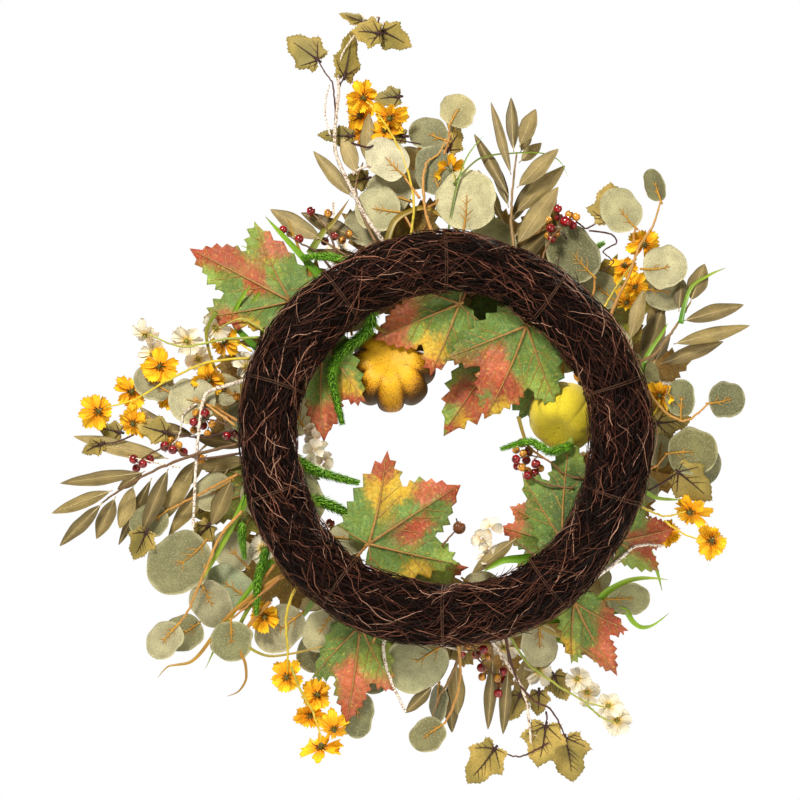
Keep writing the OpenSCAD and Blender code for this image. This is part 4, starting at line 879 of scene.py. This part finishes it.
def eucalyptus(pc, pts, rng, place):
    tone = EUCA_TONES[rng.integers(len(EUCA_TONES))] * rng.uniform(0.85, 1.1)
    x, y, z = (pts.mean(0) - CENTRE) * 1000
    # leaves further back, at larger y, are darker: painted shade
    if place != "front":
        tone = tone * (0.62 if y > 34 else 0.82 if y > 26 else 1.0)
    # a listed leaf takes its matched tone, painted light and shade included
    for own_x, own_z, own in MATCHED_LEAF_TONES:
        if math.hypot(x - own_x, z - own_z) < 9:
            tone = lin(own)

    def colour(u, s):
        k = np.clip((np.maximum(np.abs(s), np.abs(2 * u - 1)) - 0.86) / 0.14, 0, 1)[:, None] * 0.5
        shade = 1 - 0.10 * (1 - np.abs(s)) * (u < 0.5)
        return tone * shade[:, None] * (1 - k) + lin("#dcd6b0") * k

    round_leaf(pc, leaf_frame(pts), rng, colour, lin("#b4842c"), euca_shape, t=0.0007, cup=0.16,
               bend=0.09, rib=0.0010, nu=24, nv=13, skeleton=True)


OLIVE_TONES = lins("#93814e #7f6e42 #6a5c36 #a3905c")


def olive(pc, pts, rng, place):
    tone = OLIVE_TONES[rng.integers(len(OLIVE_TONES))] * rng.uniform(0.85, 1.08)

    def colour(u, s):
        k = np.exp(-(s / 0.22) ** 2)[:, None] * 0.45
        return tone * (1 - 0.12 * np.abs(s))[:, None] * (1 - k) + lin("#c4ac72") * k

    round_leaf(pc, leaf_frame(pts), rng, colour, lin("#b5a47a"), lens_shape, t=0.0006, cup=0.5,
               bend=0.07, rib=0.0005, nu=20, nv=9, skeleton=False)


# ---------------------------------------------------------------- stems, blades, picks

def swept(node, k=4):
    """The path, radii and rings of each swept solid of a CAD node, with k points for each span."""
    for pts, tri in islands(node):
        cen, rad, rings = centreline(pts, tri)
        keep = [0] + [i for i in range(1, len(cen)) if np.linalg.norm(cen[i] - cen[i - 1]) > 1e-4]
        path = smooth_path(cen[keep], k)
        r = np.interp(np.linspace(0, 1, len(path)), np.linspace(0, 1, len(keep)), rad[keep])
        yield path, r, [rings[i] for i in keep]


def arc_length(path):
    return np.concatenate([[0], np.cumsum(np.linalg.norm(np.diff(path, axis=0), axis=1))])


def stems(node, piece, tones, mat=STEM, knot_gap=None):
    """Slightly uneven stems whose colour changes along them, with side knots on bark."""
    rng = rng_for(node)
    pc = Piece(piece)
    tones = lins(tones)
    sides = 8
    for path, r, _ in swept(node):
        n = len(path)
        s = np.linspace(0, 1, n)
        c0, c1 = tones[rng.integers(len(tones))], tones[rng.integers(len(tones))]
        c = c0 + (c1 - c0) * s[:, None]
        uneven = r * (1 + 0.07 * np.sin(s * n * 1.7 + rng.uniform(0, 6)))
        path = path + rng.normal(0, 0.00025, path.shape) * np.minimum(1, 4 * s * (1 - s))[:, None]
        col = np.vstack([np.repeat(c, sides, 0), c[:1], c[-1:]])
        pc.rod(path, uneven, sides, col * rng.uniform(0.9, 1.1))
        knots = int(arc_length(path)[-1] / knot_gap) if knot_gap else 0
        for i in (rng.integers(1, n - 1) for _ in range(knots)):
            d = unit(path[i + 1] - path[i - 1])
            o = rng.normal(0, 1, 3)
            o = unit(o - d * (o @ d))
            end = path[i] + (d * 0.6 + o) * rng.uniform(0.0025, 0.006)
            knot = np.array([path[i], (path[i] + end) / 2 + d * 0.0004, end])
            pc.rod(knot, np.array([0.5, 0.4, 0.25]) * r[i], 5, c[i])
    pc.make([mat], node)


def half_widths(rings):
    """Half the width of a blade at each ring, as a vector across it."""
    out = []
    for ring in rings:
        q = ring - ring.mean(0)
        a = np.linalg.svd(q, full_matrices=False)[2][0]
        if out and a @ out[-1] < 0:
            a = -a
        out.append(a * np.abs(q @ a).max())
    return np.array(out)


def blades(node, piece, near_tones, far_tones):
    """Grass blades: thin creased strips with the CAD blade's width and twist."""
    rng = rng_for(node)
    pc = Piece(piece)
    near_tones, far_tones = lins(near_tones), lins(far_tones)
    nv, half_t = 7, 0.00025                  # points across a blade, and half its thickness
    across = np.linspace(-1, 1, nv)
    for path, _, rings in swept(node, 5):
        runner = path[:, 2].mean() > 0.09        # the thin green runner over the olive spray
        n = len(path)
        s = np.linspace(0, 1, n)
        wide = half_widths(rings) * (0.5 if runner else 1.0)
        w = np.stack([np.interp(s, np.linspace(0, 1, len(wide)), wide[:, k]) for k in range(3)], 1)
        half = np.linalg.norm(w, axis=1)[:, None]
        normal = unit(np.cross(w, unit(np.gradient(path, axis=0))))
        taper = np.clip((1 - s) / 0.25, 0.06, 1)[:, None] ** 0.6
        crease = (np.abs(across) - 0.5) * half * 0.35
        p = path[:, None] + w[:, None] * (across * taper)[..., None] + normal[:, None] * crease[..., None]
        p = p.reshape(-1, 3)
        up = np.repeat(normal, nv, 0) * half_t
        c0, c1 = near_tones[rng.integers(len(near_tones))], far_tones[rng.integers(len(far_tones))]
        if runner:
            c0, c1 = lins("#5d6a1e #7fa022")
        k = np.repeat(np.clip(s * 1.3 - 0.15, 0, 1), nv)[:, None]
        # darker along the middle of the crease than at the edges: painted shade in the fold
        col = (c0 + (c1 - c0) * k) * np.tile(0.88 + 0.12 * np.abs(across), n)[:, None]
        uv = np.stack([np.repeat(arc_length(path), nv), (across * half).ravel()], 1)
        pc.sheet(p + up, p - up, *grid_sheet(n, nv), col, col, uv)
    pc.make([BLADE], node)


def fuzzy():
    """Picks with whorls of flat needles that all point along the stem."""
    rng = rng_for("fuzzy")
    pc = Piece("fuzzy_needles")
    per, gap = 9, 0.00125                    # needles in a whorl, and the distance between whorls
    dark, bright = lins("#4f8c14 #8cca30")
    faces = np.array([(2, 3, 4), (3, 2, 5), (2, 4, 5), (4, 3, 5)])
    for path, r, _ in swept("fuzzy_picks", 6):
        pc.rod(path, r * 0.25, 6, lin("#4a6a1a"))
        arc = arc_length(path)
        whorls = int(arc[-1] / gap)
        s = np.repeat((np.arange(whorls) + 0.5) * arc[-1] / whorls, per)
        n = len(s)
        i = np.clip(np.searchsorted(arc, s) - 1, 0, len(path) - 2)
        d = path[i + 1] - path[i]
        o = path[i] + d * ((s - arc[i]) / (arc[i + 1] - arc[i] + 1e-9))[:, None]
        d = unit(d)
        x = unit(np.cross(d, [0.1, 1, 0.05]))
        y = np.cross(d, x)
        turn = (np.tile(np.arange(per), whorls) + np.repeat(np.arange(whorls) % 2, per) * 0.5) / per * TURN
        turn = (turn + rng.normal(0, 0.08, n))[:, None]
        out = np.cos(turn) * x + np.sin(turn) * y
        reach = np.interp(s, arc, r)[:, None] * NEEDLE_REACH * (1 - 0.35 * (s / arc[-1])[:, None] ** 4)
        ln = reach * rng.uniform(0.9, 1.1, (n, 1))
        end = o + out * ln * 0.8 + d * ln * rng.uniform(0.75, 1.05, (n, 1))
        side = np.cross(out, d) * np.minimum(0.0011, 0.2 * ln)
        mid = o + (end - o) * 0.5 + out * 0.0003
        root = o + out * reach * 0.1
        v = [root + side * 0.5, root - side * 0.5, mid + side, mid - side, end, mid + out * 0.0004]
        b = np.arange(n)[:, None] * 6
        c = np.repeat(dark + (bright - dark) * rng.random((n, 1)), 6, 0)
        # each needle darker at its root and brighter at its tip: painted shade deep in the brush and painted
        # light on the tips
        c = c * np.tile([0.3, 0.3, 0.85, 0.85, 1.2, 0.9], n)[:, None]
        pc.add(np.stack(v, 1).reshape(-1, 3), b + [0, 1, 3, 2], np.vstack([b + f for f in faces]), c)
    pc.make([FUZZ], "fuzzy_picks")


# ---------------------------------------------------------------- flowers, berries, gourds

def flower_frame(pts):
    """The centre of a flower's rim, its axes and its radius."""
    mid = pts.mean(0)
    d = np.linalg.norm(pts - mid, axis=1)
    rim = pts[d > 0.62 * d.max()]
    c = rim.mean(0)
    x, _, n = np.linalg.svd(rim - c, full_matrices=False)[2]
    if (mid - c) @ n > 0:
        n = -n
    return c, np.array([x, np.cross(n, x), n]), np.linalg.norm(rim - c, axis=1).max()


def petals(pc, c, ax, rad, rng, count, width, inner, outer, eye, ragged, cup):
    """Loose petals with toothed ends, each with its own length, lift and curl."""
    nu, nv = 10, 9
    U, S = np.meshgrid(np.linspace(0, 1, nu), np.linspace(-1, 1, nv), indexing="ij")
    half = np.array([0, 0, 0.0002])
    for k in range(count):
        a = TURN * (k + rng.normal(0, 0.16)) / count
        ln = rad * rng.uniform(0.78, 1.08)
        tooth = np.abs(np.mod(S * 1.5 + 0.5 + rng.uniform(-0.12, 0.12), 1) - 0.5) * 2
        out = ln * (0.1 + 0.9 * U * (1 - ragged * (1 - tooth) - 0.14 * S ** 2))
        wide = rad * width * rng.uniform(0.8, 1.1) * (0.16 + 0.84 * np.sin(U ** 0.85 * 1.9) ** 1.1)
        off = S * wide + rng.normal(0, 0.07) * rad * U ** 2
        lift = cup + rng.normal(0, 0.16)
        z = lift * rad * U ** 1.5 + 0.16 * rad * (np.cos(S * 2.4 + rng.uniform(-0.6, 0.6)) - 0.5) * U
        z = z + rng.uniform(-0.25, 0.1) * rad * U ** 3 + (k % 2) * 0.0007
        x, y = out * math.cos(a) - off * math.sin(a), out * math.sin(a) + off * math.cos(a)
        p = np.stack([x, y, z], -1).reshape(-1, 3)
        u = U.reshape(-1, 1)
        col = inner + (outer - inner) * np.clip(u * 1.4 - 0.2, 0, 1)
        if eye is not None:
            near = np.clip(1 - u / 0.4, 0, 1)
            col = col * (1 - near) + eye * near
        col = col * rng.uniform(0.82, 1.06)
        uv = np.stack([(U * ln).ravel(), off.ravel()], 1)
        pc.sheet(c + (p + half) @ ax, c + (p - half) @ ax, *grid_sheet(nu, nv), col, col, uv)


def tipped(ax, rng, least, most):
    """Turns a flower's axes by a random tilt, so that heads nod in every direction."""
    a, b = rng.uniform(0, TURN), math.radians(rng.uniform(least, most))
    n = ax[2] * math.cos(b) + (math.cos(a) * ax[0] + math.sin(a) * ax[1]) * math.sin(b)
    x = unit(np.cross(ax[1], n))
    return np.array([x, np.cross(n, x), n])


def calyx(pc, c, ax, rad, rng, col):
    """A small cup with narrow pointed sepals behind the petals."""
    cup = [(0.07, -0.3), (0.12, -0.24), (0.15, -0.1), (0.12, 0.0)]
    around = np.arange(12) * TURN / 12
    v = [[r * math.cos(t), r * math.sin(t), z] for r, z in cup for t in around]
    v = np.array(v + [[0, 0, -0.32], [0, 0, 0.02]]) * rad
    pc.add(c + v @ ax, *skin(len(cup), 12), col, mat=1)
    sepal = [(0, 1, 4), (1, 2, 4), (2, 3, 4), (3, 0, 4), (0, 2, 1), (0, 3, 2)]
    for k in range(8):
        t = TURN * (k + 0.5) / 8 + rng.normal(0, 0.1)
        u = np.array([math.cos(t), math.sin(t), 0])
        w = np.array([-math.sin(t), math.cos(t), 0]) * 0.045
        ln = rng.uniform(0.3, 0.42)
        side = u * ln * 0.55 + [0, 0, -0.07]
        v = [0.12 * u + [0, 0, -0.1], side + w, u * ln + [0, 0, -0.03], side - w,
             u * ln * 0.6 + [0, 0, -0.12]]
        pc.add(c + np.array(v) * rad @ ax, tris=sepal, col=col * rng.uniform(0.8, 1.3), mat=1)


def ball(rings, segs):
    """A sphere of radius 1."""
    lat = np.linspace(-math.pi / 2, math.pi / 2, rings + 1)[1:-1]
    lon = np.arange(segs) * TURN / segs
    v = [[math.cos(a) * math.cos(b), math.cos(a) * math.sin(b), math.sin(a)] for a in lat for b in lon]
    return np.array(v + [[0, 0, -1], [0, 0, 1]]), *skin(rings - 1, segs)


def heart(pc, c, ax, rad, rng, col):
    """The eye of the flower: a domed disc of small florets on the front."""
    v, quads, tris = ball(4, 6)
    count, golden_angle = 26, 2.39996
    for k in range(count):
        a, r = k * golden_angle, 0.20 * math.sqrt((k + 0.5) / count)
        place = np.array([r * math.cos(a), r * math.sin(a), 0.12 - 0.8 * r ** 2])
        pc.add(c + (v * 0.05 + place) * rad @ ax, quads, tris, col * rng.uniform(0.6, 1.3), mat=1)


def orange_flower(pc, pts, rng):
    c, ax, rad = flower_frame(pts)
    inner = lin("#f79a0e") * rng.uniform(0.88, 1.05)
    outer = lin("#ffca28") * rng.uniform(0.92, 1.03)
    ax = tipped(ax, rng, 5, 42)
    petals(pc, c, ax, rad * 1.1, rng, 8, 0.3, inner, outer, None, 0.2, rng.uniform(0.1, 0.5))
    calyx(pc, c, ax, rad, rng, lin("#4c4d1c"))
    heart(pc, c, ax, rad, rng, lin("#8a5410"))


def white_flower(pc, pts, rng):
    c, ax, rad = flower_frame(pts)
    ax = tipped(ax, rng, 5, 40)
    inner, outer, eye = lins("#ebe0c2 #f3ecdc #eec238")
    petals(pc, c, ax, rad * 1.1, rng, 7, 0.36, inner, outer, eye, 0.14, rng.uniform(0.05, 0.4))
    calyx(pc, c, ax, rad * 0.8, rng, lin("#7d8038"))
    heart(pc, c, ax, rad * 0.8, rng, lin("#d9a92c"))


def cream_flower(pc, pts, rng):
    base, ax, length, _ = leaf_frame(pts)
    inner, outer, eye = lins("#e2d6ba #f2eada #c8a878")
    tip = tipped(ax, rng, 5, 40)
    petals(pc, base + ax[0] * length / 2, tip, length * 0.6, rng, 4, 0.52, inner, outer, eye, 0.04,
           rng.uniform(0.2, 0.55))


def blossoms(node, piece, mats, add_flower, seed=None):
    rng = rng_for(seed or node)
    pc = Piece(piece)
    for pts, _ in islands(node):
        add_flower(pc, pts, rng)
    pc.make(mats, node)


def round_solid(pts):
    """The centre and radius of a ball."""
    low, high = pts.min(0), pts.max(0)
    return (low + high) / 2, (high - low).max() / 2


def berries(name, mat):
    """Berries with a dark eye, each on a short stalk from the nearest stem."""
    rng = rng_for(name)
    pc = Piece(name.replace("berries", "berry_beads"))
    stem_points = np.vstack([path for path, _, _ in swept("berry_stems", 6)])
    sphere, quads, tris = ball(12, 18)
    for pts, _ in islands(name):
        c, r = round_solid(pts)
        near = stem_points[np.linalg.norm(stem_points - c, axis=1).argmin()]
        far = np.linalg.norm(near - c)
        d = unit(near - c)
        u = unit(np.cross(d, [0.3, 0.2, 0.9]))
        v = sphere * [1, 1, 0.97]
        dip = np.exp(-((v[:, 2:] - 1) / 0.12) ** 2) * 0.12
        v = v * (1 - dip) * (1 + 0.015 * np.sin(v[:, :1] * 5 + rng.uniform(0, 6)))
        shade = np.full((len(v), 3), rng.uniform(0.75, 1.0))
        shade[v[:, 2] < -0.93] = [0.15, 0.08, 0.05]
        pc.add(c + v * r * 1.1 @ np.array([u, np.cross(d, u), d]), quads, tris, shade)
        if far < 0.045:
            mid = (c + near) / 2 + rng.normal(0, 0.0012, 3)
            path = smooth_path(np.array([c + d * r * 0.85, mid, near]), 4)
            pc.rod(path, np.linspace(0.0006, 0.0005, len(path)), 5, lin("#5b3a20"), 1)
    pc.make([mat, STEM], name)


def gourd(node, name, mat, ribs, depth, axis, paint):
    """A ribbed gourd on the CAD solid's own centre, axis, size and rib phase."""
    nu, nv = 200, 88
    pts, _ = islands(node)[0]
    mid = pts.mean(0)
    q = pts - mid
    axis = unit(np.array(axis))
    u = unit(np.cross(axis, [0, 0, 1]))
    w = np.cross(axis, u)
    rho, high = np.hypot(q @ u, q @ w), q @ axis
    hmax = np.abs(high).max()
    belt = np.abs(high) < 0.25 * hmax
    phase = np.angle((rho * np.exp(1j * ribs * np.arctan2(q @ w, q @ u)))[belt].sum())
    lat = np.linspace(-math.pi / 2, math.pi / 2, nv + 2)[1:-1]
    LA, LO = np.meshgrid(lat, np.arange(nu) * TURN / nu, indexing="ij")
    groove = (1 - np.abs(np.cos((ribs * LO - phase) / 2)) ** 0.75) ** 1.6
    out = rho[belt].max() * (1 - depth * 1.25 * groove * np.cos(LA) ** 0.7) * np.cos(LA) ** 0.92
    up = hmax * 1.12 * np.sin(LA) * (1 - 0.30 * np.abs(np.sin(LA)) ** 9)
    v = np.stack([out * np.cos(LO), out * np.sin(LO), up], -1).reshape(-1, 3)
    v = np.vstack([v, [[0, 0, -hmax * 0.74], [0, 0, hmax * 0.74]]]) @ np.array([u, w, axis])
    shadow = np.append((groove * np.cos(LA)).ravel(), [0, 0])[:, None]
    pc = Piece(name)
    pc.add(mid + v, *skin(nv, nu), paint(v, shadow))
    pc.make([mat], node)


def pumpkin_paint_and_shade(v, groove):
    """Painted light and shade: a painted highlight in the middle, painted shade towards the sides, the far
    rim and the grooves.
    """
    x, z = v[:, :1] / PUMPKIN_R, v[:, 2:] / PUMPKIN_R
    # rim, side and dark measure painted shade; the colour runs from bright, the painted highlight, through
    # gold to deep
    rim = np.clip((np.hypot(x, z - 0.15) - 0.5) / 0.6, 0, 1)
    side = np.clip((np.abs(x + 0.1 * z) - 0.12) / 0.4, 0, 1)
    dark = np.clip(rim * (0.45 + 0.75 * side) + 0.55 * groove, 0, 1)
    bright, gold, deep = lins("#dba81c #b87c12 #4d300a")
    c = bright + (gold - bright) * np.clip(dark * 2, 0, 1)
    return c + (deep - c) * np.clip(dark * 2 - 0.9, 0, 1)


def gourd_paint_and_shade(v, groove):
    """Paler on top, a painted light, and darker in the grooves, a painted shade."""
    low, top = lins("#c0ae22 #eed83c")
    return (low + (top - low) * np.clip(0.55 + 0.45 * unit(v)[:, 2:], 0, 1)) * (1 - 0.25 * groove)


def stalk(node):
    """A stalk with five ridges."""
    pc = Piece(f"{node}_ridged")
    sides, ridges = 20, 5
    ridge = 1 + 0.14 * np.cos(np.arange(sides) * TURN / sides * ridges)
    for path, r, _ in swept(node, 8):
        v, quads, tris = tube(path, r, sides)
        middle = path[:, None]
        v[:-2] = (middle + (v[:-2].reshape(len(path), sides, 3) - middle) * ridge[:, None]).reshape(-1, 3)
        pc.add(v, quads, tris, lin("#6b5428"))
    pc.make([STEM], node)


def buds():
    """Ribbed buds with a short stalk. The one that stands free inside the ring is dark."""
    rng = rng_for("buds")
    pc = Piece("ribbed_buds")
    v, quads, tris = ball(20, 36)
    rib = np.abs(np.cos(4 * np.arctan2(v[:, 1:2], v[:, :1])))
    ribbed = v * (1 - 0.12 * (1 - rib) * np.hypot(v[:, :1], v[:, 1:2]))
    d = np.array([-0.3, 0.3, 0.9])
    for pts, _ in islands("orange_buds"):
        c, r = round_solid(pts)
        dark = abs(c[0] - 0.013) < 0.008 and c[2] < -0.19
        # darker in the grooves between the ribs: painted shade
        tint = lin("#6a3a16" if dark else "#cf8a26") * (0.75 + 0.35 * rib)
        pc.add(c + ribbed * r * 1.02, quads, tris, tint * rng.uniform(0.8, 1.1))
        pc.rod(c + np.outer([0.9 * r, 1.6 * r], d), [0.0008, 0.0006], 6, lin("#3d2414"))
    pc.make([BUD], "orange_buds")


# ---------------------------------------------------------------- the wreath

vine_ring()
binding_wires()
for leaf in PAINT:
    leaf_pieces("maple", [leaf], [MAPLE, VEIN], maple)
for leaf in FRONT_TONES:
    leaf_pieces("maple", [leaf], [MAPLE, VEIN], maple)
leaf_pieces("eucalyptus", ("top", "right_upper", "right_lower", "bottom", "lower_left", "left", "front"),
            [EUCA, VEIN], eucalyptus)
leaf_pieces("olive", ("top_left", "top", "right", "left", "bottom", "front"), [OLIVE, VEIN],
            olive)
leaf_pieces("ivy", ("top", "right", "bottom", "left", "front"), [IVY, VEIN], ivy)
stems("maple_stalks", "maple_petioles", "#a0703c #8c5530 #b58850")
stems("eucalyptus_stems", "eucalyptus_twigs", "#b5813f #a8743a #c0924c")
stems("olive_stems", "olive_twigs", "#7d5f38 #93754a #6a4c2e")
stems("ivy_vines", "ivy_runners", "#3a1a1a #4c2622")
stems("orange_flower_stems", "orange_blossom_stems", "#c9b430 #a8a03a #d8bc3c")
stems("white_flower_stems", "white_blossom_stems", "#a8a648 #8a9a3c")
stems("berry_stems", "berry_twigs", "#5b3a20 #75512c")
stems("birch_twigs", "birch_branches", "#ece5dd #ddd2c6", BARK, knot_gap=0.03)
blades("green_blades", "green_grass", "#4f8412 #5c9416 #6f9e1e", "#84a824 #9ab030")
blades("autumn_blades", "autumn_grass", "#77882a #8f7a2c #a8742a", "#a06622 #94702a #a88430")
fuzzy()
for tint, flower in (("orange", orange_flower), ("white", white_flower)):
    for where in ("back", "front"):
        blossoms(f"{tint}_flowers_{where}", f"{tint}_blossoms_{where}", [PETAL, STEM],
                 flower)
blossoms("cream_petals", "cream_petal_clusters", [SILK], cream_flower, seed="cream")
berries("red_berries", RED)
berries("amber_berries", AMBER)
gourd("golden_pumpkin", "pumpkin_shell", GOLD_SHELL, PUMPKIN_RIBS, 0.17, PUMPKIN_AXIS, pumpkin_paint_and_shade)
gourd("green_gourd", "gourd_shell", GREEN_SHELL, GOURD_RIBS, 0.05, GOURD_AXIS, gourd_paint_and_shade)
stalk("pumpkin_stalk")
stalk("gourd_stalk")
buds()

# ---------------------------------------------------------------- stage, light, camera

scene = bpy.context.scene
scene.view_settings.view_transform = "Standard"

HALF_FLOOR = 0.9
floor_z = cad_box[0][2] - 0.06
me = bpy.data.meshes.new("floor")
me.from_pydata([(x * HALF_FLOOR, y * HALF_FLOOR, floor_z) for x, y in ((-1, -1), (1, -1), (1, 1), (-1, 1))],
               [], [(0, 1, 2, 3)])
floor_paint = Shader("floor_paint")
floor_paint.put(floor_paint.surface.inputs["Base Color"], (0.86, 0.86, 0.85))
floor_paint.put(floor_paint.surface.inputs["Roughness"], 0.8)
me.materials.append(floor_paint.material)
floor = bpy.data.objects.new("floor", me)
scene.collection.objects.link(floor)

# a soft warm sky lights the wreath, and the camera sees plain white behind it
world = bpy.data.worlds.new("studio")
world.use_nodes = True
scene.world = world
nodes, links = world.node_tree.nodes, world.node_tree.links
glow = nodes["Background"]
backdrop = nodes.new("ShaderNodeBackground")
for node, colour, strength in ((glow, (1, 0.96, 0.86, 1), 0.23), (backdrop, (1, 1, 1, 1), 1.0)):
    node.inputs["Color"].default_value = colour
    node.inputs["Strength"].default_value = strength
pick = nodes.new("ShaderNodeMixShader")
links.new(nodes.new("ShaderNodeLightPath").outputs["Is Camera Ray"], pick.inputs[0])
links.new(glow.outputs[0], pick.inputs[1])
links.new(backdrop.outputs[0], pick.inputs[2])
links.new(pick.outputs[0], nodes["World Output"].inputs["Surface"])


def area(name, where, size, power):
    """A square lamp that faces the middle of the ring."""
    lamp = bpy.data.lights.new(name, "AREA")
    lamp.shape = "SQUARE"
    lamp.size = size
    lamp.energy = power
    lamp.color = (1.0, 0.94, 0.81)
    ob = bpy.data.objects.new(name, lamp)
    ob.location = where
    ob.rotation_euler = (Vector(CENTRE) - Vector(where)).to_track_quat("-Z", "Y").to_euler()
    scene.collection.objects.link(ob)


area("key", (-0.9, -1.8, 1.5), 0.5, 86)
area("fill", (1.6, -1.6, 0.1), 1.2, 20)
area("front_key", (0.9, 1.8, 1.5), 0.5, 86)
area("front_fill", (-1.6, 1.6, 0.1), 1.2, 20)

FRAME_WIDTH, DISTANCE = 0.688, 9.0
AIM_X, AIM_Z = -0.038, -0.091           # the middle of the whole wreath, as the door sees it
camera = bpy.data.cameras.new("camera")
camera.sensor_width = 36
camera.lens = camera.sensor_width * DISTANCE / FRAME_WIDTH
camera.clip_end = 50
cam = bpy.data.objects.new("camera", camera)
cam.location = (AIM_X, -DISTANCE, AIM_Z)
cam.rotation_euler = (math.pi / 2, 0, 0)
scene.collection.objects.link(cam)
scene.camera = cam
